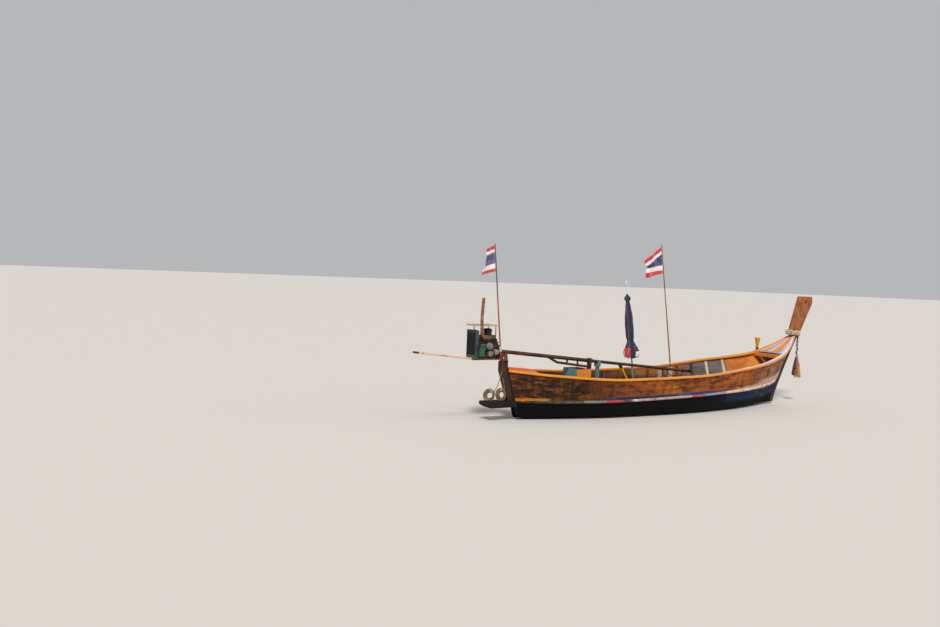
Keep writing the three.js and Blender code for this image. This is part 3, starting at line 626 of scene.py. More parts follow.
# %% Hull paint
def hull_paint():
    """Side planks under old varnish, a blue band over the strake, and near-black bottom paint."""
    made, tree, shader = finish_named("varnished_planks_and_bottom_paint", 0.5, Specular_IOR_Level=0.15)
    girth = add(tree, "ShaderNodeSeparateXYZ", {0: add(tree, "ShaderNodeUVMap", uv_map="girth").outputs[0]}).outputs[1]
    where = add(tree, "ShaderNodeTexCoord").outputs["Object"]
    x = add(tree, "ShaderNodeSeparateXYZ", {0: where}).outputs[0]
    grain = patches(tree, where, 0.009, 0.3, 0.75, (0.04, 1, 1), 8)
    broad = patches(tree, where, 0.5, 0.4, 0.66, (0.45, 1, 1), 6)
    worn = patches(tree, where, 0.16, 0.5, 0.66, (0.8, 1, 0.7), 7)
    smudge = patches(tree, where, 0.13, 0.5, 0.62, (0.4, 1, 1.1), 5)
    other = patches(tree, where, 0.11, 0.5, 0.62, (0.3, 1, 1.7), 5, (0.3, 0, 0))
    streak = patches(tree, where, 0.06, 0.52, 0.66, (1, 1, 0.16), 5, (0, 0.5, 0))
    stern, bow = between(tree, x, (-1.4, -2.6)), between(tree, x, (1.9, 3.0))
    beat = add(tree, "ShaderNodeMath", {0: x, 1: 2 * math.pi / 0.21}, operation="MULTIPLY").outputs[0]
    beat = between(tree, add(tree, "ShaderNodeMath", {0: beat}, operation="SINE").outputs[0], (0.1, 0.9))
    side = coats(tree, "#b4621f", (broad, "#90491a"), (smudge, "#5c3114"), (stern, "#3a2412"),
                 (both(tree, beat, worn), "#64371a"), (both(tree, smudge, stern), "#22160e"),
                 (both(tree, other, stern), "#7c421c"), (both(tree, stern, streak), "#1c2018"),
                 (both(tree, bow, other), "#a87e62"), (both(tree, bow, broad), "#70564c"),
                 (both(tree, bow, streak), "#221a18"))
    plank = add(tree, "ShaderNodeMath", {0: girth, 1: 7.3}, operation="MULTIPLY").outputs[0]
    plank = add(tree, "ShaderNodeMath", {0: plank}, operation="FLOOR").outputs[0]
    tone = add(tree, "ShaderNodeTexWhiteNoise", {"W": plank}, noise_dimensions="1D").outputs[0]
    tone = add(tree, "ShaderNodeMapRange", {0: tone, 4: 0.2}).outputs[0]
    shaded = add(tree, "ShaderNodeMix", {0: tone, 6: side, 7: (0.6, 0.56, 0.56, 1)}, data_type="RGBA",
                 blend_type="MULTIPLY").outputs[2]
    shaded = add(tree, "ShaderNodeMix", {0: grain, 6: shaded, 7: (0.75, 0.72, 0.7, 1)}, data_type="RGBA",
                 blend_type="MULTIPLY").outputs[2]
    ragged = add(tree, "ShaderNodeMath", {0: worn, 1: 0.04, 2: girth}, operation="MULTIPLY_ADD").outputs[0]
    band = between(tree, ragged, (2.10, 2.12), (2.24, 2.29))
    navy = both(tree, band, between(tree, x, (-2.4, -1.9), (0.5, 1.2)))
    ochre = both(tree, between(tree, ragged, (2.13, 2.15), (2.2, 2.24)), between(tree, x, (-3.2, -3.3), (-3.8, -3.9)))
    pink = both(tree, between(tree, ragged, (2.1, 2.12), (2.2, 2.26)), between(tree, x, (1.2, 1.7)))
    wide_pink = both(tree, between(tree, ragged, (2.1, 2.12), (2.3, 2.38)), between(tree, x, (2.1, 2.5)))
    below = between(tree, ragged, (2.06, 2.04))
    low_blue = both(tree, between(tree, x, (0.9, 1.4)), between(tree, ragged, (1.4, 1.6)))
    colour = coats(tree, shaded, (navy, "#15304f"), (both(tree, navy, smudge), "#3c5c84"), (ochre, "#b8741c"),
                   (pink, "#c4a290"), (wide_pink, "#c4a290"),
                   (below, "#040405"), (both(tree, below, low_blue), "#182a44"),
                   (both(tree, below, low_blue, other, between(tree, x, (1.9, 2.1))), "#4a4e30"))
    rough = add(tree, "ShaderNodeMath", {0: worn, 1: below}, operation="ADD", use_clamp=True).outputs[0]
    uneven = add(tree, "ShaderNodeMath", {0: grain, 1: worn}, operation="ADD").outputs[0]
    dress(tree, shader, colour, (rough, 0.42, 0.85), uneven, 0.0015)
    return made


def inner_paint():
    """Dark planks, partly oiled wood and partly painted shade low in the hull's hollow; grey and olive ones amidships,
    a lighter strip near the top aft, and orange paint towards the bow, the lighter colours only above a height.
    """
    made, tree, shader = finish_named("inner_planking_paint", 0.6)
    where = add(tree, "ShaderNodeTexCoord").outputs["Object"]
    split = add(tree, "ShaderNodeSeparateXYZ", {0: where}).outputs
    grain = patches(tree, where, 0.009, 0.3, 0.75, (0.04, 1, 1), 8)
    broad = patches(tree, where, 0.25, 0.45, 0.6, (0.5, 1, 1), 6)
    middle = between(tree, split[0], (1.2, 1.4), (2.35, 2.6))
    aft = between(tree, split[0], (-0.9, -0.4), (1.2, 1.4))
    fore = both(tree, between(tree, split[0], (2.35, 2.6)), between(tree, split[2], (0.62, 0.72)))
    # The near-black brown base stays below the heights where the other colours start: partly the wood's own colour,
    # partly painted shade in the hollow of the hull.
    colour = coats(tree, "#4a2814", (broad, "#301a10"),
                   (both(tree, middle, between(tree, split[2], (0.5, 0.6))), "#6c5e62"),
                   (both(tree, broad, middle), "#46442c"), (fore, "#dc8016"), (both(tree, fore, broad), "#b86010"),
                   (both(tree, aft, between(tree, split[2], (0.6, 0.68))), "#94581a"))
    uneven = add(tree, "ShaderNodeMix", {0: grain, 6: colour, 7: (0.75, 0.72, 0.7, 1)}, data_type="RGBA",
                 blend_type="MULTIPLY").outputs[2]
    dress(tree, shader, uneven, (broad, 0.5, 0.75), grain, 0.0015)
    return made


INNER_PAINT = inner_paint()
HULL_PAINT = hull_paint()
print("hull paint has", len(HULL_PAINT.node_tree.nodes), "nodes")

# %% Hull shell
STATIONS = 96
SEAMS = (0.42, 0.78, 1.25, 1.6, 2.16, 2.42, 2.58, 2.74, 2.89)
SEAM_HALF = 0.006
SEAM_DEPTH = 0.0022


def girth_numbers():
    """Girth numbers of one side's vertices: even steps, and three at each seam."""
    steps = {round(k / 10, 4) for k in range(31)}
    for seam in SEAMS:
        steps = {s for s in steps if abs(s - seam) > 2.2 * SEAM_HALF}
        steps |= {round(seam - SEAM_HALF, 4), seam, round(seam + SEAM_HALF, 4)}
    return sorted(steps)


def hull_shell():
    girth = girth_numbers()
    bm = bmesh.new()
    layer = bm.loops.layers.uv.new("girth")
    numbers = {}

    def side_row(u, inset, side):
        row = []
        for p in girth:
            groove = SEAM_DEPTH if p in SEAMS and inset == 0 else 0
            vert = bm.verts.new(on_hull(u, p, inset + groove, side))
            numbers[vert] = (HULL["ts"](u), p)
            row.append(vert)
        return row

    outside, inside = [], []
    inner_low, inner_high = 0.012, 0.975
    for i in range(STATIONS + 1):
        share = i / STATIONS
        outside.append(side_row(share, 0, -1)[::-1] + side_row(share, 0, 1))
        u = inner_low + (inner_high - inner_low) * share
        inside.append(side_row(u, PLANKING, -1)[::-1] + side_row(u, PLANKING, 1))
    faces = []
    for rows, flip in ((outside, False), (inside, True)):
        for a, b in zip(rows, rows[1:]):
            for j in range(len(a) - 1):
                quad = (a[j], a[j + 1], b[j + 1], b[j])
                face = bm.faces.new(quad[::-1] if flip else quad)
                face.material_index = 1 if flip else 0
                faces.append(face)
    for j, step in ((0, 1), (len(outside[0]) - 1, -1)):
        for i in range(STATIONS):
            quad = (outside[i][j], outside[i + 1][j], inside[i + 1][j], inside[i][j])
            bm.faces.new(quad if step > 0 else quad[::-1])
    for rows in ((outside[0], inside[0]), (outside[-1], inside[-1])):
        a, b = rows
        for j in range(len(a) - 1):
            bm.faces.new((a[j], a[j + 1], b[j + 1], b[j]))
    bmesh.ops.recalc_face_normals(bm, faces=bm.faces)
    for face in bm.faces:
        for loop in face.loops:
            loop[layer].uv = numbers[loop.vert]
    mesh = bpy.data.meshes.new("carvel_planking")
    bm.to_mesh(mesh)
    bm.free()
    made = piece("carvel_planking", mesh, "hull", HULL_PAINT, INNER_PAINT, replaces=("hull_planking",),
                 slot="planking_wood")
    mesh.set_sharp_from_angle(angle=math.radians(40))
    return made


print("shell:", len(hull_shell().data.polygons), "faces")

# %% [markdown]
# ## Caps and rubbing strakes
# The gunwale cap is a batten bent along the sheer, and the rubbing strake one along the
# chine. Each is one section swept along the hull lines with its corners rounded over. The
# starboard cap is orange outside and pale blue along its inner half, and the strake has been
# painted over in lengths, so both have a paint that changes along the boat.

# %% Caps and strakes
def rounded_section(y0, y1, z0, z1, radius, steps=3):
    corners = ((y1 - radius, z1 - radius, 0), (y0 + radius, z1 - radius, 90),
               (y0 + radius, z0 + radius, 180), (y1 - radius, z0 + radius, 270))
    out = []
    for y, z, start in corners:
        for k in range(steps + 1):
            a = math.radians(start + 90 * k / steps)
            out.append((y + radius * math.cos(a), z + radius * math.sin(a)))
    return out


def strake_paint():
    """Tarred aft with painted greenish highlights on it, then grey, red, white and pink lengths, and cream towards the
    bow.
    """
    made, tree, shader = finish_named("strake_paint_in_lengths", 0.6)
    where = add(tree, "ShaderNodeTexCoord").outputs["Object"]
    x = add(tree, "ShaderNodeSeparateXYZ", {0: where}).outputs[0]
    worn = patches(tree, where, 0.06, 0.52, 0.66, (0.3, 1, 1), 7)
    glint = patches(tree, where, 0.2, 0.48, 0.6, (0.3, 1, 1), 6)
    lengths = [(between(tree, x, (a - 0.02, a + 0.02)), code) for a, code in (
        (-2.6, "#77776f"), (-2.14, "#b42a2c"), (-1.76, "#3c3834"), (-1.55, "#c4b8ae"), (-1.38, "#b8948c"),
        (0.02, "#b43438"), (0.2, "#8c8498"), (1.05, "#dcb8a4"))]
    # Greenish-grey patches on the tarred aft length are painted highlights.
    aft = both(tree, glint, between(tree, x, (-2.4, -2.8)))
    colour = coats(tree, "#15130f", *lengths, (aft, "#565c50"), (worn, "#6a4a40"))
    dress(tree, shader, colour, (worn, 0.5, 0.8), worn, 0.001)
    return made


def edge_paint():
    """The orange paint with pale blue over it, thin amidships and full towards the bow."""
    made = ORANGE.copy()
    made.name = "pale_blue_over_orange_paint"
    tree = made.node_tree
    shader = tree.nodes["Principled BSDF"]
    where = add(tree, "ShaderNodeTexCoord").outputs["Object"]
    x = add(tree, "ShaderNodeSeparateXYZ", {0: where}).outputs[0]
    thin = patches(tree, where, 0.1, 0.4, 0.6, (0.3, 1, 1), 6)
    under = shader.inputs["Base Color"].links[0].from_socket
    dress(tree, shader, coats(tree, under, (both(tree, thin, between(tree, x, (-1.2, -0.2))), "#b4bccc"),
                              (between(tree, x, (0.2, 1.9)), "#bcc6da"), (both(tree, thin, between(tree, x, (0.4, 1.4))), "#d8d4e0")))
    return made


STRIPE = strake_paint()
EDGE_PAINT = edge_paint()


def gunwale(name, side, node):
    radius = 0.011
    rings = []
    for i in range(STATIONS + 1):
        u = i / STATIONS
        t, b, z = HULL["ts"](u), HULL["bs"](u), HULL["zs"](u)
        section = rounded_section(-cap_inside(u), CAP_OUTSIDE, FIT, CAP_HEIGHT, radius)
        section.insert(4, (0.002, CAP_HEIGHT))
        rings.append([Vector((t - HALF_LENGTH, side * (b + y), z + h)) for y, h in section])
    inner = range(4, 9) if side < 0 else ()
    return piece(name, skin(name, rings, paints=lambda i, j: int(j in inner)), "hull", ORANGE, EDGE_PAINT,
                 replaces=(node,), slot="orange_paint")


def chine_strake(name, side, node):
    rings = []
    for i in range(4, STATIONS - 3):
        u = i / STATIONS
        low, high = section_inset(u, 2.017, 0), section_inset(u, 2.14, 0)
        out = Vector((high.y - low.y, low.x - high.x)).normalized()
        ring = []
        for share, height in ((0, 0), (0.04, 0.012), (0.14, 0.018), (0.5, 0.02), (0.86, 0.018), (0.96, 0.012), (1, 0)):
            q = low.lerp(high, share)
            z_on_skin = q.y
            q = q + out * height
            ring.append(Vector((t_at(u, z_on_skin) - HALF_LENGTH, side * q.x, q.y)))
        rings.append(ring)
    return piece(name, skin(name, rings), "hull", STRIPE, replaces=(node,), slot="stripe_paint")


for side, word in ((-1, "starboard"), (1, "port")):
    gunwale(f"gunwale_cap_{word}", side, f"gunwale_{word}")
    chine_strake(f"rubbing_strake_{word}", side, f"strake_{word}")
print("caps and strakes follow", STATIONS, "stations")

# %% [markdown]
# ## The decks
# The foredeck is laid in tapered strips that run together at the stem, painted orange and
# pale blue by turns. A strip lies between two lines that keep the same share of the deck's
# breadth, which is why they meet at the bow. The stern deck is short and strongly crowned.

# %% Striped foredeck and stern deck
def deck_point(u, k, crown, drop=0.0):
    half = HULL["bs"](u) - cap_inside(u) - FIT - 0.0004
    z = HULL["zs"](u) + CAP_HEIGHT + crown * (1 - k * k) - drop
    return Vector((HULL["ts"](u) - HALF_LENGTH, k * half, z))


def strip_deck(name, node, u0, u1, crown, edges, thickness, *materials):
    """edges are the shares of the half-breadth, from starboard to port, between which strips lie."""
    bm = bmesh.new()
    for n, (a, b) in enumerate(zip(edges, edges[1:])):
        rings = []
        for i in range(25):
            u = u0 + (u1 - u0) * i / 24
            half = max(HULL["bs"](u) - cap_inside(u), 0.004)
            ease = min(0.004 / half, (b - a) * 0.2)
            ring = [deck_point(u, k, crown, d) for k, d in (
                (a + ease * 0.2, 0.004), (a + ease, 0.0), ((a + b) / 2, 0.0), (b - ease, 0.0),
                (b - ease * 0.2, 0.004), (b - ease * 0.2, thickness), ((a + b) / 2, thickness),
                (a + ease * 0.2, thickness))]
            rings.append(ring)
        skin(name, rings, paints=lambda i, j, n=n: n % len(materials), bm=bm)
    bmesh.ops.recalc_face_normals(bm, faces=bm.faces)
    mesh = bpy.data.meshes.new(name)
    bm.to_mesh(mesh)
    bm.free()
    made = piece(name, mesh, "hull", *materials, replaces=(node,), slot="orange_paint")
    mesh.set_sharp_from_angle(angle=math.radians(30))
    return made


FOREDECK_AFT = u_at_sheer(7.225)
STERN_DECK_FORE = u_at_sheer(0.52)
strip_deck("striped_foredeck", "foredeck", FOREDECK_AFT, 0.99, 0.014, (-1, -0.78, -0.14, 0.3, 0.68, 1), 0.026,
           SKY, ORANGE)
strip_deck("crowned_stern_deck", "stern_deck", 0.004, STERN_DECK_FORE, 0.046, (-1, -0.6, -0.2, 0.2, 0.6, 1), 0.026,
           ORANGE_RED)
print("decks from", round(HULL["ts"](FOREDECK_AFT), 3), "and to", round(HULL["ts"](STERN_DECK_FORE), 3))

# %% [markdown]
# ## Frames inside the hull
# Ribs are sawn frames that lie against the planking every 42 cm. They repeat, and each
# follows the skin where it stands, so they are swept one by one from the same lines, and the
# nails that hold planks to ribs are set by Geometry Nodes further on. Two of them, where
# people step aboard, are painted cream.

# %% Ribs and keelson
RIB_WIDTH = 0.046
RIB_PLACES = [0.9 + 0.42 * k for k in range(14)]
CREAM_RIBS = (12, 13)


def u_where(t, p, inset):
    """The station whose skin point p lies at distance t."""
    low, high = 0.012, 0.975
    for _ in range(17):
        u = (low + high) / 2
        low, high = (u, high) if on_hull(u, p, inset).x + HALF_LENGTH < t else (low, u)
    return low


def rib(bm, t, cream):
    girth = [0.3 + 2.6 * k / 26 for k in range(27)]
    for side in (-1, 1):
        rings = []
        for p in girth:
            ring = []
            for dt, inset in ((-1, 0), (-1, 0.85), (-0.7, 1), (0.7, 1), (1, 0.85), (1, 0)):
                depth = PLANKING + 0.001 + inset * RIB_DEPTH
                u = u_where(t + dt * RIB_WIDTH / 2, p, depth)
                ring.append(on_hull(u, p, depth, side))
            rings.append(ring)
        skin("rib", rings, paints=lambda i, j: int(cream), bm=bm)


def frames():
    bm = bmesh.new()
    for k, t in enumerate(RIB_PLACES):
        rib(bm, t, k in CREAM_RIBS)
    keel = []
    for k in range(30):
        x = 0.72 + 5.9 * k / 29 - HALF_LENGTH
        keel.append([Vector((x, y, z)) for y, z in rounded_section(-0.06, 0.06, 0.06, 0.096, 0.006, 2)])
    skin("keelson", keel, bm=bm)
    bmesh.ops.recalc_face_normals(bm, faces=bm.faces)
    mesh = bpy.data.meshes.new("ribs_and_keelson_timber")
    bm.to_mesh(mesh)
    bm.free()
    made = piece("ribs_and_keelson_timber", mesh, "hull", RIB_WOOD, CREAM_RIB, replaces=("ribs_and_keelson",),
                 slot="planking_wood")
    mesh.set_sharp_from_angle(angle=math.radians(35))
    return made


print("ribs:", len(RIB_PLACES), "faces:", len(frames().data.polygons))

# %% [markdown]
# ## Timber that only needs its edges eased
# Many pieces are sawn straight, and the CAD solid already has their shape. A sawn edge is
# never a knife edge, so each is copied, its edges are rounded by a few millimetres, and it
# gets its finish.

# %% Sawn and turned timber
EASED = (
    ("floorboards", GREY_WOOD, 0.003, "planking_wood"),
    ("keel_plank", TARRED, 0.006, "bottom_paint"),
    ("fore_beam", ORANGE_ACROSS, 0.005, "orange_paint"),
    ("stem", STEM_WOOD, 0.006, "planking_wood"),
    ("sternpost", STEM_WOOD, 0.006, "planking_wood"),
    ("stern_step", TARRED, 0.012, "bottom_paint"),
    ("crutch_post", TEAL, 0.004, "teal_paint"),
    ("yellow_prop", YELLOW, 0.004, "yellow_paint"),
    ("umbrella_socket", TEAL, 0.004, "teal_paint"),
    ("short_post_aft", PALE_POST, 0.006, "pale_wood"),
    ("short_post_fore", PALE_POST, 0.006, "pale_wood"),
    ("engine_bed", BED_STEEL, 0.003, "steel"),
    ("swivel_yoke", RUSTY, 0.002, "steel"),
    ("tail_frame", TAIL_STEEL, 0.003, "steel"),
    ("gear_case", GREEN_ENAMEL, 0.012, "engine_metal"),
)
for node, material, ease, slot in EASED:
    finished_copy(node, material, ease)
print("eased", len(EASED), "pieces")

# %% [markdown]
# ## Round pieces
# The CAD keeps round pieces to few facets. Those that show close up are turned again here
# with enough sides to look round.

# %% Helpers for turned pieces
def turned_rings(foot, way, profile, sides=32):
    """Rings of a turned piece: profile is (radius, height) pairs from foot to top."""
    foot, way = Vector(foot), Vector(way).normalized()
    side = way.orthogonal().normalized()
    up = way.cross(side)
    return [[foot + way * h + max(r, 0.0002) * (math.cos(a) * side + math.sin(a) * up)
             for a in (2 * math.pi * k / sides for k in range(sides))] for r, h in profile]


def turned(name, foot, way, profile, body, material, sides=32, **options):
    made = piece(name, skin(name, turned_rings(foot, way, profile, sides)), body, material, **options)
    made.data.set_sharp_from_angle(angle=math.radians(38))
    return made


def along_box(node):
    low, high = (Vector(v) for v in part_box(node))
    return low, high, (low + high) / 2


BEAM_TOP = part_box("fore_beam")[1][2]
BOLLARD = ((0.0385, 0.0), (0.039, 0.004), (0.039, 0.03), (0.034, 0.062), (0.023, 0.08), (0.022, 0.096),
           (0.024, 0.112), (0.030, 0.128), (0.038, 0.196), (0.055, 0.286), (0.066, 0.328), (0.066, 0.336),
           (0.057, 0.344), (0.03, 0.349), (0, 0.35))
turned("turned_bollard", (3.178, 0.33, BEAM_TOP + FIT), (0, 0, 1), BOLLARD, "hull", YELLOW,
       replaces=("bollard",), slot="orange_paint")
print("bollard on the beam at", round(BEAM_TOP, 3), "m")

# %% [markdown]
# ## Thwarts
# A thwart is a seat plank that also ties the two sides together. The widest is three planks
# side by side. The risers are the stringers that carry them.

# %% Thwarts and risers
THWARTS = ((2.08, 2.3, 1), (3.33, 3.55, 1), (4.05, 4.57, 3), (5.75, 5.97, 1))
THWART_TOP = 0.54
THWART_THICK = 0.03
SIDE_STEP_DEPTH = PLANKING + RIB_DEPTH + 0.002


def girth_at_height(u, z, inset):
    low, high = 0.5, 3.0
    for _ in range(14):
        p = (low + high) / 2
        low, high = (p, high) if section_inset(u, p, inset).y < z else (low, p)
    return low


def half_width(t, z, inset):
    low, high = 0.012, 0.975
    for _ in range(14):
        u = (low + high) / 2
        p = girth_at_height(u, z, inset)
        low, high = (u, high) if on_hull(u, p, inset).x + HALF_LENGTH < t else (low, u)
    return on_hull(low, girth_at_height(low, z, inset), inset).y


def thwarts():
    bm = bmesh.new()
    for aft, fore, planks in THWARTS:
        width = (fore - aft) / planks
        for n in range(planks):
            a, b = aft + n * width + 0.001 * (n > 0), aft + (n + 1) * width - 0.001
            rings = []
            for k in range(2):
                side = (-1, 1)[k]
                ring = []
                for t, z in ((a, -1), (a, -0.1), (a + 0.004, 0), (b - 0.004, 0), (b, -0.1), (b, -1)):
                    height = THWART_TOP + z * THWART_THICK
                    reach = half_width(t, THWART_TOP - THWART_THICK / 2, SIDE_STEP_DEPTH) - 0.003
                    ring.append(Vector((t - HALF_LENGTH, side * reach, height)))
                rings.append(ring)
            skin("thwart", rings, bm=bm)
    rings = []
    for k in range(40):
        t = 1.51 + (6.34 - 1.51) * k / 39
        rings.append([Vector((t - HALF_LENGTH, half_width(t, z, SIDE_STEP_DEPTH + depth), z)) for z, depth in (
            (0.432, 0.001), (0.432, 0.024), (0.436, 0.027), (0.508, 0.027), (0.512, 0.024), (0.512, 0.001))])
    skin("riser", rings, bm=bm)
    skin("riser", [[Vector((p.x, -p.y, p.z)) for p in ring] for ring in rings], bm=bm)
    bmesh.ops.recalc_face_normals(bm, faces=bm.faces)
    mesh = bpy.data.meshes.new("thwart_planks")
    bm.to_mesh(mesh)
    bm.free()
    made = piece("thwart_planks", mesh, "hull", SEAT_WOOD, replaces=("thwarts_and_risers",), slot="planking_wood")
    mesh.set_sharp_from_angle(angle=math.radians(35))
    return made


print("thwarts:", len(thwarts().data.polygons), "faces")

# %% [markdown]
# ## The locker
# A box of painted boards stands in front of whoever steers: teal on its aft side, orange on
# its starboard side. It is a copy of the CAD box with a material for each direction a face
# looks in.

# %% Painted locker
locker = finished_copy("stern_locker", TEAL, 0.003)
locker.data.materials.append(ORANGE_ACROSS)
locker.data.materials.append(SEAT_WOOD)
LOCKER_LOW, LOCKER_HIGH, LOCKER_MIDDLE = along_box("stern_locker")
for face in locker.data.polygons:
    out = face.center - LOCKER_MIDDLE
    outer = max(abs(out.x) / (LOCKER_HIGH.x - LOCKER_LOW.x), abs(out.y) / (LOCKER_HIGH.y - LOCKER_LOW.y)) > 0.49
    if not outer:
        face.material_index = 2
    elif abs(face.normal.y) > 0.7:
        face.material_index = 1
print("locker", [round(v, 2) for v in LOCKER_HIGH - LOCKER_LOW], "m")

# %% [markdown]
# ## The prow plank
# The prow is one broad plank that stands on the stem head, upright in the middle plane. It
# widens towards its top, its upper fore corner is cut off, and a hole is bored near the top.
# Its edges are worn round and its faces weathered along the grain.

# %% Prow plank
PROW_LOW, PROW_HIGH, _ = along_box("prow_plank")
PROW_HALF_THICK = 0.042
PROW_OUTLINE = ((3.835, PROW_LOW.z), (4.16, PROW_LOW.z), (4.571, PROW_HIGH.z - 0.148),
                (4.558, PROW_HIGH.z), (4.119, PROW_HIGH.z))
PROW_HOLE = (4.33, 2.36, 0.042)


def plank_with_hole(name, outline, hole, half, bevel, rows=14):
    """A plank cut to an outline in the middle plane, with a bored hole."""
    cx, cz, r = hole
    ring_inner = [Vector((cx + r * math.cos(a), 0, cz + r * math.sin(a)))
                  for a in (2 * math.pi * k / 48 for k in range(48))]
    outer = []
    for p in ring_inner:
        way = (p - Vector((cx, 0, cz))).normalized()
        best = None
        for (x0, z0), (x1, z1) in zip(outline, outline[1:] + outline[:1]):
            ex, ez = x1 - x0, z1 - z0
            det = way.x * -ez + way.z * ex
            if abs(det) < 1e-9:
                continue
            t = ((x0 - cx) * -ez + (z0 - cz) * ex) / det
            s = (way.x * (z0 - cz) - way.z * (x0 - cx)) / det
            if t > 0 and -1e-6 <= s <= 1 + 1e-6 and (best is None or t < best):
                best = t
        outer.append(Vector((cx, 0, cz)) + way * best)
    corners = [Vector((x, 0, z)) for x, z in outline]
    for corner in corners:
        nearest = min(range(len(outer)), key=lambda k: (outer[k] - corner).length)
        outer[nearest] = corner
    rings = []
    for y, shrink in ((-half, bevel), (-half + bevel, 0), (half - bevel, 0), (half, bevel)):
        rings.append([p + (Vector((cx, 0, cz)) - p).normalized() * shrink + Vector((0, y, 0)) for p in outer])
    faces = []
    for y in (-half, half):
        steps = []
        for k in range(1, rows):
            share = k / rows
            edge = rings[0] if y < 0 else rings[-1]
            steps.append([Vector((p.x, y, p.z)).lerp(Vector((q.x, y, q.z)), share)
                          for p, q in zip(edge, ring_inner)])
        faces.append(steps)
    hole_low = [p + Vector((0, -half, 0)) for p in ring_inner]
    hole_high = [p + Vector((0, half, 0)) for p in ring_inner]
    loop = [*rings, *faces[1], hole_high, hole_low, *faces[0][::-1]]
    loop.append(loop[0])
    bm = bmesh.new()
    skin(name, loop, caps=False, bm=bm)
    bmesh.ops.remove_doubles(bm, verts=bm.verts, dist=1e-5)
    bmesh.ops.recalc_face_normals(bm, faces=bm.faces)
    mesh = bpy.data.meshes.new(name)
    bm.to_mesh(mesh)
    bm.free()
    return mesh


prow = piece("weathered_prow", plank_with_hole("weathered_prow", PROW_OUTLINE, PROW_HOLE, PROW_HALF_THICK, 0.008),
             "hull", PROW_WOOD, replaces=("prow_plank",), slot="planking_wood")
prow.data.set_sharp_from_angle(angle=math.radians(35))
print("prow", round(PROW_HIGH.z - PROW_LOW.z, 2), "m tall")

# %% [markdown]
# ## Cloth
# Flags, the furled umbrella and the sash are all cloth. A flag is sewn from coloured strips,
# so its colour depends on where a point is in the flat cut, which the piece keeps as its UV
# map. The weave is finer than a pixel, so it is drawn at 3 mm.

# %% Cloth finishes
WEAVE = 0.003


def weave_height(tree, uv):
    flat = add(tree, "ShaderNodeSeparateXYZ", {0: uv})
    waves = []
    for axis in (0, 1):
        scaled = add(tree, "ShaderNodeMath", {0: flat.outputs[axis], 1: 2 * math.pi / WEAVE}, operation="MULTIPLY")
        waves.append(add(tree, "ShaderNodeMath", {0: scaled.outputs[0]}, operation="SINE").outputs[0])
    return add(tree, "ShaderNodeMath", {0: waves[0], 1: waves[1]}, operation="MULTIPLY").outputs[0]


def cloth(name, stripes, fade, across=1, roughness=0.85):
    """Cloth of stripes, (from, hex) along one direction of the flat cut, in metres."""
    made, tree, shader = finish_named(name, roughness, Sheen_Weight=0.4, Sheen_Roughness=0.5)
    uv = add(tree, "ShaderNodeUVMap", uv_map="flat").outputs[0]
    flat = add(tree, "ShaderNodeSeparateXYZ", {0: uv}).outputs[across]
    sewn = [(between(tree, flat, (start - 0.001, start + 0.001)), code) for start, code in stripes[1:]]
    where = add(tree, "ShaderNodeTexCoord").outputs["Object"]
    faded = patches(tree, where, 0.12, 0.45, 2.2, detail=6)
    colour = coats(tree, stripes[0][1], *sewn, (faded, fade))
    dress(tree, shader, colour, None, weave_height(tree, uv), 0.0006)
    return made


FLAG_HOIST = 0.56
STERN_HOIST = 0.47


FLY_MARKS = (0.0, 0.12, 0.31, 0.74, 0.86, 1.0)


def five_stripes(hoist, middle):
    """Red, white, a broad dark stripe, white and red, from the lower edge up."""
    return tuple((hoist * mark, code) for mark, code in
                 zip(FLY_MARKS, ("#c81c20", "#e8d8d4", middle, "#e8d8d4", "#c81c20")))


FLAG_CLOTH = cloth("faded_flag_cloth", five_stripes(FLAG_HOIST, "#28346a"), "#c89a90")
STERN_FLAG_CLOTH = cloth("stern_flag_cloth", five_stripes(STERN_HOIST, "#5c4c78"), "#c89a90")
NAVY_CLOTH = cloth("navy_umbrella_cloth", ((0, "#141f42"),), "#3a5484")
PURPLE_CLOTH = cloth("purple_umbrella_cloth", ((0, "#2c1834"),), "#4c2040")
RED_CLOTH = cloth("red_umbrella_flap", ((0, "#d42420"),), "#a82c2c")
CREAM_CLOTH = cloth("cream_umbrella_lining", ((0, "#e8dcc8"),), "#b8a890")
MAROON_CLOTH = cloth("maroon_sash_cloth", ((0, "#541422"),), "#34101c")
PINK_CLOTH = cloth("pink_sash_cloth", ((0, "#b8648c"),), "#8c4a7c")
TAN_CLOTH = cloth("tan_sash_cloth", ((0, "#a86a38"),), "#7c4a28")
OLIVE_CLOTH = cloth("olive_sash_cloth", ((0, "#8a8434"),), "#5c6430")
YELLOW_CLOTH = cloth("yellow_sash_cloth", ((0, "#c8b04c"),), "#98803c")
print("cloths ready")

# %% [markdown]
# ## Flags
# A flag in light air doesn't stand out: its fly droops and folds back on itself, and the
# folds run down from the top corner of the hoist. The sheet is laid out flat first, then
# each column is carried along a wavy line. Towards the fly the middle stripe folds away behind
# its neighbours, so it shows as a triangle.

# %% Flags
FOLD_SIDE = -1
FLY_HEIGHTS = (0.0, 0.19, 0.34, 0.42, 0.53, 0.67)


def fly_height(h):
    """Where a point at share h of the hoist has gone when it reaches the fly."""
    k = min(4, sum(h > mark for mark in FLY_MARKS[1:]))
    share = (h - FLY_MARKS[k]) / (FLY_MARKS[k + 1] - FLY_MARKS[k])
    return FLY_HEIGHTS[k] + (FLY_HEIGHTS[k + 1] - FLY_HEIGHTS[k]) * share


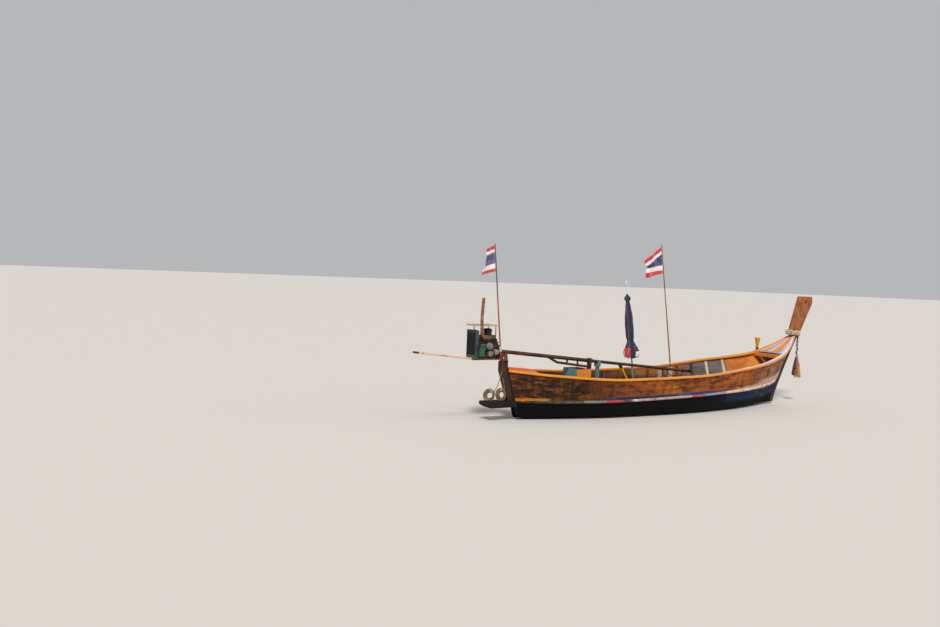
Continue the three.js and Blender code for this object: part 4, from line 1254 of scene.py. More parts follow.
def flag(name, node, body, top, way, hoist, fly, droop, waves, material, seed, gather=0.0, folded=1.0):
    """A flag hung from its hoist. way points up the pole; gather draws the fly in towards the top."""
    top, way = Vector(top), Vector(way).normalized()
    rnd = random.Random(seed)
    columns, rows = 36, 36
    away = Vector((-1, 0, 0))
    away = (away - way * away.dot(way)).normalized()
    aside = way.cross(away)
    low, high, _ = along_box(node)
    bm = bmesh.new()
    uv = bm.loops.layers.uv.new("flat")
    reach = high.x - low.x - 0.015
    phase = rnd.uniform(0, 6)
    grid = []
    for i in range(columns + 1):
        s = i / columns
        column = []
        for j in range(rows + 1):
            h = j / rows
            depth = 0.016 * math.sin(waves * s + 1.8 * h + phase) * min(1, 3 * s)
            fold = 0.010 * math.sin(2.3 * waves * s - 2.1 * h) * s
            behind = 0.055 * s * math.sin(math.pi * max(0.0, min(1.0, 3 * h - 1)))
            height = h + folded * (fly_height(h) - h) * s ** 0.9
            spot = (top - way * (hoist * (1 - height)) - Vector((0, 0, droop * s ** 1.2))
                    + away * (reach * s * (1 - 0.24 * math.sin(math.pi * h) ** 4) * (1 - gather * h))
                    + aside * (depth + fold + FOLD_SIDE * behind))
            column.append(bm.verts.new(spot))
        grid.append(column)
    for i in range(columns):
        for j in range(rows):
            face = bm.faces.new((grid[i][j], grid[i + 1][j], grid[i + 1][j + 1], grid[i][j + 1]))
            for loop, (a, b) in zip(face.loops, ((i, j), (i + 1, j), (i + 1, j + 1), (i, j + 1))):
                loop[uv].uv = (fly * a / columns, hoist * b / rows)
    mesh = bpy.data.meshes.new(name)
    bm.to_mesh(mesh)
    bm.free()
    made = piece(name, mesh, body, material, replaces=(node,), slot="cloth")
    skin_of = made.modifiers.new("cloth thickness", "SOLIDIFY")
    skin_of.thickness = 0.0012
    skin_of.offset = 0
    return made


def measure_area(obj):
    return sum(p.area for p in obj.data.polygons)


def lean_aft(degrees):
    return Vector((-math.sin(math.radians(degrees)), 0, math.cos(math.radians(degrees))))


POST_Y = 0.3
POLE_FOOT = Vector((0.446, POST_Y, 0.87))
POLE_WAY = lean_aft(9.2)
mid_flag = flag("mid_flag", "flag_mid", "hull", POLE_FOOT + POLE_WAY * 2.6 + Vector((-0.017, 0, 0)), POLE_WAY,
                FLAG_HOIST, 0.5, 0.04, 7.5, FLAG_CLOTH, 3)
STERN_POLE_FOOT = Vector((-4.206, -0.137, 1.1763))
STERN_POLE_WAY = (Vector((-4.42, -0.12, 3.263)) - STERN_POLE_FOOT).normalized()
stern_flag = flag("stern_flag", "flag_stern", "motor", STERN_POLE_FOOT + STERN_POLE_WAY * 2.07
                  + Vector((-0.017, 0, 0)), STERN_POLE_WAY, STERN_HOIST, 0.3, 0.05, 6.5, STERN_FLAG_CLOTH, 8, 0.5, 0.0)
print("flag cloth", round(measure_area(mid_flag), 3), "and", round(measure_area(stern_flag), 3), "m2")

# %% [markdown]
# ## Poles
# Each pole is a straight peeled sapling or a painted stick, slightly thinner at the top,
# with a cord lashed round it where something is tied on.

# %% Poles and lashings
def pole(name, node, body, foot, way, length, thick, top_thick, material):
    points = [Vector(foot) + Vector(way).normalized() * (length * k / 24) for k in range(25)]

    def radius(share):
        return thick + (top_thick - thick) * share + 0.0007 * math.sin(40 * share)

    made = tube(name, points, radius, body, material, 16, replaces=(node,), slot="pale_wood")
    return made


pole("mid_flag_pole", "flag_pole", "hull", POLE_FOOT + POLE_WAY * 0.004, POLE_WAY, 2.646, 0.0148, 0.009, POLE_WOOD)
pole("stern_pole", "stern_flag_pole", "motor", STERN_POLE_FOOT + STERN_POLE_WAY * 0.004, STERN_POLE_WAY, 2.094,
     0.0158, 0.01, RED_POLE)
UMBRELLA_FOOT = Vector((-0.642, 0.3, 0.935))
UMBRELLA_WAY = lean_aft(8.7)
pole("umbrella_stick", "umbrella_pole", "hull", UMBRELLA_FOOT + UMBRELLA_WAY * 0.001, UMBRELLA_WAY, 1.774,
     0.0128, 0.0128, UMBRELLA_STICK)


def lashing(name, foot, way, radius, turns, thick, body, material):
    """A cord wound tightly round a pole."""
    way = Vector(way).normalized()
    side = way.orthogonal().normalized()
    up = way.cross(side)
    points = []
    for k in range(turns * 16 + 1):
        a = 2 * math.pi * k / 16
        points.append(Vector(foot) + way * (thick * 1.02 * k / 16) + (radius + thick / 2)
                      * (math.cos(a) * side + math.sin(a) * up))
    return tube(name, points, thick / 2, body, material, 8, slot="rope")


lashing("flag_halyard_lashing", POLE_FOOT + POLE_WAY * 0.06, POLE_WAY, 0.0148, 7, 0.005, "hull", CREAM_ROPE)
lashing("stern_pole_lashing", STERN_POLE_FOOT + STERN_POLE_WAY * 0.12, STERN_POLE_WAY, 0.0158, 12, 0.008, "motor",
        CREAM_ROPE)
lashing("bollard_turns", (3.178, 0.33, BEAM_TOP + 0.076), (0, 0, 1), 0.0232, 3, 0.013, "hull", DARK_ROPE)
print("poles and lashings ready")

# %% [markdown]
# ## The furled umbrella
# A big beach umbrella is closed round its pole and tied at the top of its skirt. Closing
# folds each panel outwards into a flap, so the section is a star with as many points as
# ribs, twisted a little because the flaps are wrapped round before they are tied.

# %% Umbrella
UMBRELLA_FOLDS = 8
FURL = ((0.155, 0.12), (0.19, 0.17), (0.27, 0.178), (0.36, 0.14), (0.42, 0.105), (0.5, 0.072), (0.54, 0.07),
        (0.6, 0.086), (0.76, 0.094), (0.99, 0.083), (1.23, 0.06), (1.35, 0.04), (1.385, 0.068), (1.43, 0.068),
        (1.455, 0.04), (1.48, 0.022), (1.5, 0.018))


def furled(name, rows, material, twist=1.3, folds=UMBRELLA_FOLDS, pleat=0.55, offset=0.0):
    rings = []
    around = 12 * folds
    heights = [r[0] for r in rows]
    steps = 60
    for i in range(steps + 1):
        h = heights[0] + (heights[-1] - heights[0]) * i / steps
        k = max(0, min(len(rows) - 2, sum(h > x for x in heights[1:])))
        t = (h - heights[k]) / (heights[k + 1] - heights[k])
        t = t * t * (3 - 2 * t)
        reach = rows[k][1] + (rows[k + 1][1] - rows[k][1]) * t + offset
        ring = []
        for j in range(around):
            a = 2 * math.pi * j / around
            wave = (0.5 + 0.5 * math.cos(folds * a)) ** 1.4
            ripple = 0.03 * math.sin(3 * a + 9 * h) + 0.02 * math.sin(5 * a - 13 * h)
            r = reach * (1 - pleat + pleat * wave) * (1 + ripple)
            b = a + twist * (h - heights[0]) + 0.5 * wave
            ring.append((max(r, 0.0135), b))
        side = UMBRELLA_WAY.orthogonal().normalized()
        up = UMBRELLA_WAY.cross(side)
        rings.append([UMBRELLA_FOOT + UMBRELLA_WAY * h + r * (math.cos(b) * side + math.sin(b) * up)
                      for r, b in ring])
    bm = bmesh.new()
    skin(name, rings, caps=False, bm=bm)
    bmesh.ops.recalc_face_normals(bm, faces=bm.faces)
    mesh = bpy.data.meshes.new(name)
    bm.to_mesh(mesh)
    bm.free()
    mesh.uv_layers[0].name = "flat"
    return mesh


umbrella = piece("furled_umbrella", furled("furled_umbrella", FURL, NAVY_CLOTH), "hull", NAVY_CLOTH,
                 PURPLE_CLOTH, RED_CLOTH, CREAM_CLOTH, MAROON_CLOTH, replaces=("umbrella_canopy",), slot="cloth")
FLAP_SIDE = Vector((0.86, -0.51, 0))


def umbrella_colour(h, across):
    """Material number at a height on the stick, across counting from the red flap's side."""
    if h > 0.42:
        return 1 if across < -0.012 and h < 1.34 else 0
    if across < -0.028 and h < 0.38:
        return 3 if h < 0.185 or across < -0.145 else 2
    if h > 0.33:
        return 0 if across < 0.05 else 4
    return 3 if across > 0.07 and h < 0.28 else 0


for face in umbrella.data.polygons:
    out = face.center - UMBRELLA_FOOT
    h = out.dot(UMBRELLA_WAY)
    face.material_index = umbrella_colour(h, (out - UMBRELLA_WAY * h).dot(FLAP_SIDE))
knot_ring = [UMBRELLA_FOOT + UMBRELLA_WAY * 1.365 + 0.042 * (math.cos(a) * UMBRELLA_WAY.orthogonal().normalized()
             + math.sin(a) * UMBRELLA_WAY.cross(UMBRELLA_WAY.orthogonal()).normalized())
             for a in (2 * math.pi * k / 24 for k in range(25))]
tube("umbrella_tie", knot_ring, 0.011, "hull", NAVY_CLOTH, 8, slot="cloth")

# %% [markdown]
# ## Repeats by Geometry Nodes
# Flowers, beads, nails, bolts and fins are one small thing set many times. One tree does all
# of them: it takes the points of a mesh, turns an item along the direction kept at each
# point, gives it a random turn and size from a fixed seed, and makes one mesh of the lot.

# %% A tree that sets an item on points
SET_INPUTS = (
    ("Places", "NodeSocketGeometry"), ("Item", "NodeSocketObject"), ("Finish", "NodeSocketMaterial"),
    ("Seed", "NodeSocketInt"), ("Least size", "NodeSocketFloat"), ("Greatest size", "NodeSocketFloat"),
    ("Turn", "NodeSocketFloat"), ("Tilt", "NodeSocketFloat"),
)


def setting_tree():
    tree = bpy.data.node_groups.new("set_on_points", "GeometryNodeTree")
    for name, kind in SET_INPUTS:
        tree.interface.new_socket(name, in_out="INPUT", socket_type=kind)
    tree.interface.new_socket("Geometry", in_out="OUTPUT", socket_type="NodeSocketGeometry")
    start = add(tree, "NodeGroupInput").outputs
    way = add(tree, "GeometryNodeInputNamedAttribute", {"Name": "way"}, data_type="FLOAT_VECTOR").outputs[0]
    aligned = add(tree, "FunctionNodeAlignRotationToVector", {"Vector": way}, axis="Z").outputs[0]
    back = [add(tree, "ShaderNodeMath", {0: start[key], 1: -1.0}, operation="MULTIPLY").outputs[0]
            for key in ("Turn", "Tilt")]
    spins = [add(tree, "FunctionNodeRandomValue", {2: low, 3: start[key], 8: seed}, data_type="FLOAT").outputs[1]
             for key, low, seed in (("Tilt", back[1], 11), ("Tilt", back[1], 12), ("Turn", back[0], 13))]
    euler = add(tree, "ShaderNodeCombineXYZ", {0: spins[0], 1: spins[1], 2: spins[2]}).outputs[0]
    own = add(tree, "FunctionNodeEulerToRotation", {0: euler}).outputs[0]
    turn = add(tree, "FunctionNodeRotateRotation", {0: aligned, 1: own}, rotation_space="LOCAL").outputs[0]
    size = add(tree, "FunctionNodeRandomValue", {2: start["Least size"], 3: start["Greatest size"],
               8: start["Seed"]}, data_type="FLOAT").outputs[1]
    item = add(tree, "GeometryNodeObjectInfo", {0: start["Item"]}).outputs["Geometry"]
    many = add(tree, "GeometryNodeInstanceOnPoints", {"Points": start["Places"], "Instance": item,
               "Rotation": turn, "Scale": size}).outputs[0]
    real = add(tree, "GeometryNodeRealizeInstances", {0: many}).outputs[0]
    dressed = add(tree, "GeometryNodeSetMaterial", {"Geometry": real, "Material": start["Finish"]}).outputs[0]
    add(tree, "NodeGroupOutput", {0: dressed})
    return tree


SETTING = setting_tree()


def set_on_points(name, places, item, material, body, seed=1, size=(1, 1), turn=math.pi, tilt=0.0, **options):
    """places are (point, direction) pairs. item is a mesh that stands along +Z."""
    cloud = bpy.data.meshes.new(name + "_places")
    cloud.from_pydata([tuple(p) for p, _ in places], [], [])
    ways = cloud.attributes.new("way", "FLOAT_VECTOR", "POINT")
    for k, (_, way) in enumerate(places):
        ways.data[k].vector = tuple(Vector(way).normalized())
    holder = bpy.data.objects.new(name + "_places", cloud)
    thing = bpy.data.objects.new(name + "_item", item)
    for obj in (holder, thing):
        bpy.context.scene.collection.objects.link(obj)
    nodes = holder.modifiers.new("set", "NODES")
    nodes.node_group = SETTING
    values = {"Item": thing, "Finish": material, "Seed": seed, "Least size": float(size[0]),
              "Greatest size": float(size[1]), "Turn": float(turn), "Tilt": float(tilt)}
    for socket in SETTING.interface.items_tree:
        if socket.in_out == "INPUT" and socket.name in values:
            nodes[socket.identifier] = values[socket.name]
    holder.update_tag()
    bpy.context.view_layer.update()
    graph = bpy.context.evaluated_depsgraph_get()
    mesh = bpy.data.meshes.new_from_object(holder.evaluated_get(graph))
    mesh.name = name
    for obj in (holder, thing):
        bpy.data.objects.remove(obj)
    return piece(name, mesh, body, material, **options)


def lathe_mesh(name, profile, sides=12, caps=True):
    return skin(name, turned_rings((0, 0, 0), (0, 0, 1), profile, sides), caps=caps)


BEAD = lathe_mesh("bead", ((0.0, -1.0), (0.5, -0.87), (0.87, -0.5), (1.0, 0.0), (0.87, 0.5), (0.5, 0.87), (0.0, 1.0)), 10)
BOLT = lathe_mesh("bolt", ((1.5, 0.0), (1.5, 0.22), (1.0, 0.24), (1.0, 0.86), (0.9, 1.0), (0.0, 1.0)), 6)
NAIL = lathe_mesh("nail", ((1.0, -0.1), (1.0, 0.12), (0.8, 0.25), (0.0, 0.3)), 8)
print("repeats by", len(SETTING.nodes), "nodes")


def scaled(mesh, factor):
    made = mesh.copy()
    made.transform(Matrix.Scale(factor, 4))
    return made


# %% [markdown]
# ## The garland and the sash
# Flowers on a thread ring the prow, a string of beads hangs from the ring, and coloured
# cloths are tied round the stem below it. They are there in every working boat of this kind
# and are renewed often. A blossom is a few layers of short petals.

# %% Garland
GARLAND_AT = Vector((3.99, 0, 1.635))
PETAL_CREAM = plain_fibre("cream_blossom", "#f4e2cc", "#d8b89c", 0.7, 0.02, 0.0006)
PETAL_WHITE = plain_fibre("white_blossom", "#f6f2ea", "#dcd2c4", 0.7, 0.02, 0.0006)
BEAD_DARK = plain_fibre("dark_bead", "#2c1418", "#4c2430", 0.5, 0.02, 0.0003)
BEAD_PINK = plain_fibre("pink_bead", "#c88ca0", "#a8607c", 0.5, 0.02, 0.0003)


def blossom(name, petals=7, layers=3):
    bm = bmesh.new()
    for layer in range(layers):
        reach = 1.0 - 0.22 * layer
        rise = 0.25 + 0.28 * layer
        for k in range(petals):
            a = 2 * math.pi * (k + 0.5 * layer) / petals
            out = Vector((math.cos(a), math.sin(a), 0))
            side = Vector((-math.sin(a), math.cos(a), 0))
            rows = []
            for share, width, lift in ((0.1, 0.1, 0.0), (0.5, 0.34, 0.5), (0.85, 0.3, 0.9), (1.0, 0.08, 1.0)):
                middle = out * (reach * share) + Vector((0, 0, rise * lift))
                rows.append([bm.verts.new(middle + side * width * s + Vector((0, 0, 0.12 * abs(s)))) for s in (-1, 0, 1)])
            for low, high in zip(rows, rows[1:]):
                for s in (0, 1):
                    bm.faces.new((low[s], low[s + 1], high[s + 1], high[s]))
    mesh = bpy.data.meshes.new(name)
    bm.to_mesh(mesh)
    bm.free()
    return mesh


def garland_point(a, out=0.0, up=0.0):
    """A point of the ring at an angle, moved out from its middle and up."""
    spot = Vector(((0.18 + out) * math.cos(a), (0.082 + out) * math.sin(a), up))
    return GARLAND_AT + Quaternion((0, 1, 0), math.radians(6)) @ spot


thread = tube("garland_thread", [garland_point(2 * math.pi * k / 64) for k in range(65)], 0.025, "hull", PETAL_CREAM, 12,
              replaces=("garland",), slot="cloth")
rnd = random.Random(5)
flowers = [[], []]
for k in range(340):
    a = rnd.uniform(0, 2 * math.pi)
    b = rnd.uniform(0, 2 * math.pi)
    spot = garland_point(a, 0.020 * math.cos(b), 0.028 * math.sin(b))
    flowers[k % 3 == 0].append((spot, spot - garland_point(a) + Vector((0, 0, 0.002))))
set_on_points("cream_flowers", flowers[0], scaled(blossom("cream_flower"), 0.028), PETAL_CREAM, "hull", 2,
              (0.8, 1.25), tilt=0.3, slot="cloth")
set_on_points("white_flowers", flowers[1], scaled(blossom("white_flower", 6), 0.028), PETAL_WHITE, "hull", 4,
              (0.8, 1.2), tilt=0.3, slot="cloth")
STRING_X = 4.158
strings = [(Vector((STRING_X + 0.008 * math.sin(0.9 * k), 0.008 * math.cos(0.7 * k), 1.58 - 0.022 * k)), (0, 0, 1))
           for k in range(23)]
set_on_points("pink_beads", [s for k, s in enumerate(strings) if k % 4 == 1], scaled(BEAD, 0.019), BEAD_PINK, "hull",
              3, slot="cloth")
set_on_points("dark_beads", [s for k, s in enumerate(strings) if k % 4 != 1], scaled(BEAD, 0.021), BEAD_DARK,
              "hull", 3, slot="cloth")
print("flowers:", len(flowers[0]) + len(flowers[1]), "beads:", len(strings))

# %% Sash cloths
SASH = (
    dict(name="maroon", cloth=MAROON_CLOTH, angle=180, spread=78, low=0.65, reach=0.092, width=0.42),
    dict(name="tan", cloth=TAN_CLOTH, angle=240, spread=55, low=0.61, reach=0.100, width=0.36),
    dict(name="pink", cloth=PINK_CLOTH, angle=266, spread=22, low=0.86, reach=0.082, width=0.30),
    dict(name="olive", cloth=OLIVE_CLOTH, angle=290, spread=50, low=0.605, reach=0.110, width=0.36),
    dict(name="yellow", cloth=YELLOW_CLOTH, angle=335, spread=56, low=0.62, reach=0.104, width=0.34),
    dict(name="rose", cloth=PINK_CLOTH, angle=85, spread=90, low=0.64, reach=0.084, width=0.40),
)
SASH_TOP = 1.06


def sash_cloth(row, seed):
    rnd = random.Random(seed)
    phase = rnd.uniform(0, 6)
    columns, rows = 30, 22
    height = SASH_TOP - row["low"]
    bm = bmesh.new()
    uv = bm.loops.layers.uv.new("flat")
    grid = []
    for i in range(columns + 1):
        s = i / columns - 0.5
        line = []
        for j in range(rows + 1):
            h = j / rows
            spread = math.radians(row["spread"]) * (0.55 + 0.45 * h)
            a = math.radians(row["angle"]) + spread * s * 2 + 0.25 * math.sin(2.2 * h + phase)
            open_out = h ** 0.75
            fold = 0.011 * math.sin(2 * math.pi * 5 * s + phase + 1.3 * h) * (0.35 + 0.65 * open_out)
            r = 0.02 + (row["reach"] - 0.02) * open_out * (0.82 + 0.18 * math.cos(3.1 * s)) + fold
            z = SASH_TOP - height * (h - 0.05 * math.sin(9 * s + phase) * h)
            line.append(bm.verts.new((STRING_X + r * math.cos(a), r * math.sin(a), z)))
        grid.append(line)
    for i in range(columns):
        for j in range(rows):
            face = bm.faces.new((grid[i][j], grid[i + 1][j], grid[i + 1][j + 1], grid[i][j + 1]))
            for loop, (a, b) in zip(face.loops, ((i, j), (i + 1, j), (i + 1, j + 1), (i, j + 1))):
                loop[uv].uv = (row["width"] * a / columns, height * b / rows)
    mesh = bpy.data.meshes.new(row["name"] + "_sash")
    bm.to_mesh(mesh)
    bm.free()
    replaces = ("sash",) if row["name"] == "maroon" else ()
    made = piece(row["name"] + "_sash", mesh, "hull", row["cloth"], replaces=replaces, slot="cloth")
    area = measure_area(made)
    wide = round(min(row["width"], max(area / 0.5 / 1.5, area / 0.5)), 2)
    return round(area, 3), wide


for seed, row in enumerate(SASH):
    print(row["name"], "sash", *sash_cloth(row, seed))
tie = [Vector((STRING_X + 0.032 * math.cos(a), 0.032 * math.sin(a), SASH_TOP - 0.012 + 0.004 * math.sin(3 * a)))
       for a in (2 * math.pi * k / 24 for k in range(25))]
tube("sash_tie", tie, 0.008, "hull", MAROON_CLOTH, 8, slot="cloth")
turned("sash_knot", (STRING_X, 0, SASH_TOP - 0.03), (0, 0, 1), ((0.012, 0), (0.026, 0.008), (0.03, 0.022), (0.022, 0.04),
       (0.026, 0.055), (0.02, 0.07), (0.01, 0.078)), "hull", PINK_CLOTH, 16, slot="cloth")

# %% [markdown]
# ## The long tail
# The shaft runs in a thick steel tube from the clamp to the propeller. A hoop of rod under
# it keeps the propeller off the ground. The propeller has two narrow blades, each an
# aerofoil section that is twisted from root to tip.

# %% Tail tube, skeg and propeller
TAIL_DROP = math.tan(math.radians(5.67))
TAIL_WAY = Vector((1, 0, -TAIL_DROP)).normalized()


def tail_at(t, y=0.0, drop=0.0):
    return Vector((t - HALF_LENGTH, y, 1.282 - (t + 0.06) * TAIL_DROP - drop))


def tail_radius(share):
    t = 2.004 + 2.596 * share
    return 0.0325 if t < 2.05 or 4.52 < t < 4.6 else 0.0305


tube("tail_tube_steel", [tail_at(2.005 + 2.594 * k / 60) for k in range(61)], tail_radius, "motor", TAIL_STEEL, 20,
     replaces=("tail_tube",), slot="steel")
skeg_line = curve_through([tail_at(4.06, 0, 0.02), tail_at(4.10, 0, 0.10), tail_at(4.19, 0, 0.138), tail_at(4.32, 0, 0.14),
                           tail_at(4.45, 0, 0.12), tail_at(4.515, 0, 0.02)], 48)
tube("skeg_hoop_rod", skeg_line, 0.0098, "motor", TAIL_STEEL, 10, replaces=("skeg_hoop",), slot="steel")
turned("tail_bearing", tail_at(4.505), TAIL_WAY, ((0.028, 0), (0.036, 0.003), (0.036, 0.06), (0.0335, 0.068), (0.0335, 0.088),
       (0.026, 0.092)), "motor", BRONZE, 24, slot="bronze")
turned("tail_collar", tail_at(2.008), TAIL_WAY, ((0.03, 0), (0.038, 0.002), (0.038, 0.05), (0.032, 0.056)), "motor",
       TAIL_STEEL, 24, slot="steel")

PROPELLER_AT = tail_at(4.65)
PROPELLER_REACH = 0.124


def propeller():
    side = Vector((0, 1, 0))
    up = TAIL_WAY.cross(side)
    bm = bmesh.new()
    hub = turned_rings(tail_at(4.603), TAIL_WAY, ((0.0265, 0), (0.0275, 0.004), (0.027, 0.05), (0.0225, 0.074),
                       (0.0165, 0.086), (0.0165, 0.092), (0.01, 0.0935), (0, 0.094)), 28)
    skin("hub", hub, bm=bm)
    for turn in (0, math.pi):
        rings = []
        for k in range(15):
            share = k / 14
            r = 0.02 + (PROPELLER_REACH - 0.02) * share
            chord = 0.034 + 0.036 * math.sin(math.pi * min(1, 0.12 + 0.8 * share)) - 0.034 * max(0, share - 0.8) * 5
            thick = 0.0085 * (1 - 0.75 * share)
            pitch = math.atan2(0.16 / (2 * math.pi), r)
            ring = []
            for m in range(14):
                q = 2 * math.pi * m / 14
                along = 0.5 * chord * math.cos(q)
                over = 0.5 * thick * math.sin(q) * (1 + 0.25 * math.cos(q))
                a = turn + (along * math.cos(pitch) - over * math.sin(pitch)) / r
                reach = math.sqrt(max(r * r, 1e-6))
                forth = along * math.sin(pitch) + over * math.cos(pitch)
                ring.append(PROPELLER_AT + reach * (math.cos(a) * side + math.sin(a) * up) + TAIL_WAY * forth)
            rings.append(ring)
        skin("blade", rings, bm=bm)
    bmesh.ops.recalc_face_normals(bm, faces=bm.faces)
    mesh = bpy.data.meshes.new("bronze_propeller")
    bm.to_mesh(mesh)
    bm.free()
    made = piece("bronze_propeller", mesh, "propeller", BRONZE, replaces=("propeller",), slot="bronze")
    mesh.set_sharp_from_angle(angle=math.radians(45))
    return made


print("propeller", len(propeller().data.polygons), "faces")

# %% [markdown]
# ## The engine
# A small truck engine sits lengthwise on the bed: block and head in the middle, bell housing
# towards the tail, radiator at the tiller end, and a plate above it all that keeps rain and
# sun off. Each part below is a few eased solids with its own bolts, ribs and pipes.

# %% Helpers for castings
def block(name, low, high, ease=0.006, segments=2):
    """A solid between two corners with eased edges."""
    bm = bmesh.new()
    bmesh.ops.create_cube(bm, size=1)
    size = Vector(high) - Vector(low)
    middle = (Vector(high) + Vector(low)) / 2
    for v in bm.verts:
        v.co = Vector(a * b for a, b in zip(v.co, size)) + middle
    bmesh.ops.bevel(bm, geom=list(bm.edges), offset=min(ease, min(size) * 0.45), segments=segments, profile=0.6,
                    affect="EDGES")
    mesh = bpy.data.meshes.new(name)
    bm.to_mesh(mesh)
    bm.free()
    return mesh


def round_mesh(name, foot, way, profile, sides=28):
    return skin(name, turned_rings(foot, way, profile, sides))


def pipe_mesh(name, points, radius, sides=12, count=28):
    return skin(name, tube_rings(curve_through(points, count), radius, sides))


def on_motor(t, y, z):
    """A place on the engine: t and y in millimetres of its table, z in millimetres."""
    return Vector((t / 1000 - HALF_LENGTH, y / 1000, z / 1000))


def casting(name, meshes, *materials, node=None, slot="engine_metal"):
    made = joined(name, meshes, "motor", *materials, replaces=(node,) if node else (), slot=slot)
    made.data.set_sharp_from_angle(angle=math.radians(35))
    return made


BOLTS = []


def bolt(t, y, z, way):
    BOLTS.append((on_motor(t, y, z), way))


print("helpers for castings ready")

# %% Block and head
low, high, _ = along_box("engine_block")
parts = [
    (block("crankcase", on_motor(-690, -112, 1176.5), on_motor(-262.5, 112, 1300), 0.02, 3), 0),
    (block("barrel_part", on_motor(-684, -122, 1292), on_motor(-268, 122, 1474), 0.012), 0),
    (block("deck_flange", on_motor(-690, -134, 1462), on_motor(-262.5, 134, 1480), 0.003), 0),
    (block("sump_flange", on_motor(-690, -128, 1222), on_motor(-262.5, 128, 1236), 0.003), 0),
    (block("side_cover", on_motor(-640, -130, 1330), on_motor(-520, -116, 1440), 0.005), 1),
    (block("injection_pump", on_motor(-640, 118, 1300), on_motor(-470, 134, 1390), 0.006), 2),
]
for k in range(6):
    t = -650 + 72 * k
    parts.append((block("web", on_motor(t, -127, 1240), on_motor(t + 8, -110, 1462), 0.002, 1), 0))
    parts.append((block("web", on_motor(t, 110, 1240), on_motor(t + 8, 127, 1462), 0.002, 1), 0))
for k in range(4):
    t = -612 + 92 * k
    parts.append((round_mesh("core_plug", on_motor(t + 10, -118, 1400), (0, -1, 0), ((0.0, 0), (0.019, 0.0), (0.019, 0.006),
                  (0.015, 0.007), (0.013, 0.004), (0, 0.004)), 20), 1))
    for side in (-1, 1):
        bolt(t, side * 128, 1229, (0, side, 0))
casting("cast_block", parts, BLOCK, OLIVE_COVER, DARK_PAINTED, node="engine_block")
for t in (-630, -530):
    for z in (1340, 1430):
        bolt(t, -130, z, (0, -1, 0))

parts = [
    (block("head_lower", on_motor(-679, -94, 1480.5), on_motor(-272.5, 94, 1532), 0.006), 0),
    (block("rocker_cover", on_motor(-668, -62, 1530), on_motor(-284, 62, 1596), 0.018, 4), 1),
    (block("cover_rim", on_motor(-674, -70, 1528), on_motor(-278, 70, 1537), 0.003), 1),
    (block("intake_rail", on_motor(-660, 60, 1500), on_motor(-300, 94.5, 1548), 0.012, 3), 0),
]
for k in range(5):
    parts.append((block("cover_rib", on_motor(-640 + 76 * k, -58, 1590), on_motor(-634 + 76 * k, 58, 1599.5), 0.002, 1), 1))
parts.append((round_mesh("oil_filler", on_motor(-330, 0, 1590), (0, 0, 1), ((0.024, -0.002), (0.024, 0.008), (0.02, 0.0095),
              (0, 0.0096)), 20), 2))
for k in range(4):
    t = -620 + 92 * k
    for j, y in enumerate((-94, 94)):
        bolt(t, y * 0.86, 1532, (0, 0, 1))
    parts.append((pipe_mesh("injector_line", (on_motor(t + 20, 80, 1548), on_motor(t + 24, 96, 1500), on_motor(-600 + 30 * k, 128, 1440),
                  on_motor(-600 + 30 * k, 128, 1388)), 0.0032, 8, 18), 3))
casting("cylinder_head_and_cover", parts, BLOCK, OLIVE_COVER, DARK_PAINTED, WORN_STEEL, node="cylinder_head")

bell = ((0.0925, 0.0), (0.094, 0.004), (0.1, 0.02), (0.117, 0.052), (0.122, 0.066), (0.128, 0.068), (0.128, 0.0815))
parts = [(round_mesh("bell", on_motor(-180.2, 0, 1318), (-1, 0, 0), bell, 40), 0)]
for k in range(8):
    a = 2 * math.pi * k / 8
    arm = Vector((0, math.cos(a), math.sin(a)))
    foot = on_motor(-250, 0, 1318)
    parts.append((skin("bell_rib", [[foot + arm * r + Vector((x, 0, 0)) + arm.cross(Vector((1, 0, 0))) * w
                  for x, w in ((0, -0.004), (0.002, 0.004), (0.066, 0.003), (0.066, -0.003))] for r in (0.088, 0.106)]), 0))
    bolt(-248, 123 * math.cos(a + 0.39), 1318 + 123 * math.sin(a + 0.39), (1, 0, 0))
casting("ribbed_bell_housing", parts, BLOCK, node="bell_housing")
print("engine parts so far:", len(parts), "and", len(BOLTS), "bolts")

# %% Radiator and top plate
parts = [
    (block("lower_tank", on_motor(-772, -160, 1176.5), on_motor(-708, 160, 1232), 0.01, 3), 4),
    (block("upper_tank", on_motor(-772, -160, 1630), on_motor(-708, 160, 1690), 0.016, 4), 0),
    (block("side_left", on_motor(-774, 146, 1176.5), on_motor(-706, 164.5, 1684), 0.003), 1),
    (block("side_right", on_motor(-774, -164.5, 1176.5), on_motor(-706, -146, 1684), 0.003), 1),
    (block("core", on_motor(-762, -147, 1228), on_motor(-718, 147, 1634), 0.001, 1), 2),
    (round_mesh("neck", on_motor(-740, -60, 1684), (0, 0, 1), ((0.02, 0), (0.02, 0.006), (0.027, 0.007), (0.027, 0.0145),
     (0.012, 0.016), (0, 0.016)), 20), 3),
    (round_mesh("drain", on_motor(-740, -120, 1200), (0, -1, 0), ((0.006, 0.03), (0.006, 0.042), (0.004, 0.043), (0, 0.043)), 10), 3),
]
casting("radiator_frame", parts, DARK_PAINTED, BLUE_SHEET, BLOCK, WORN_STEEL, GREEN_ENAMEL, node="radiator")
fin = block("fin", (-0.0005, -0.146, -0.0005), (0.0035, 0.146, 0.0005), 0.0002, 1)
fin_rows = [(on_motor(t, 0, 1236 + 7.4 * k), (0, 0, 1)) for k in range(54) for t in (-765, -718)]
set_on_points("radiator_fins", fin_rows, fin, DARK_PAINTED, "motor", turn=0.0, slot="engine_metal")

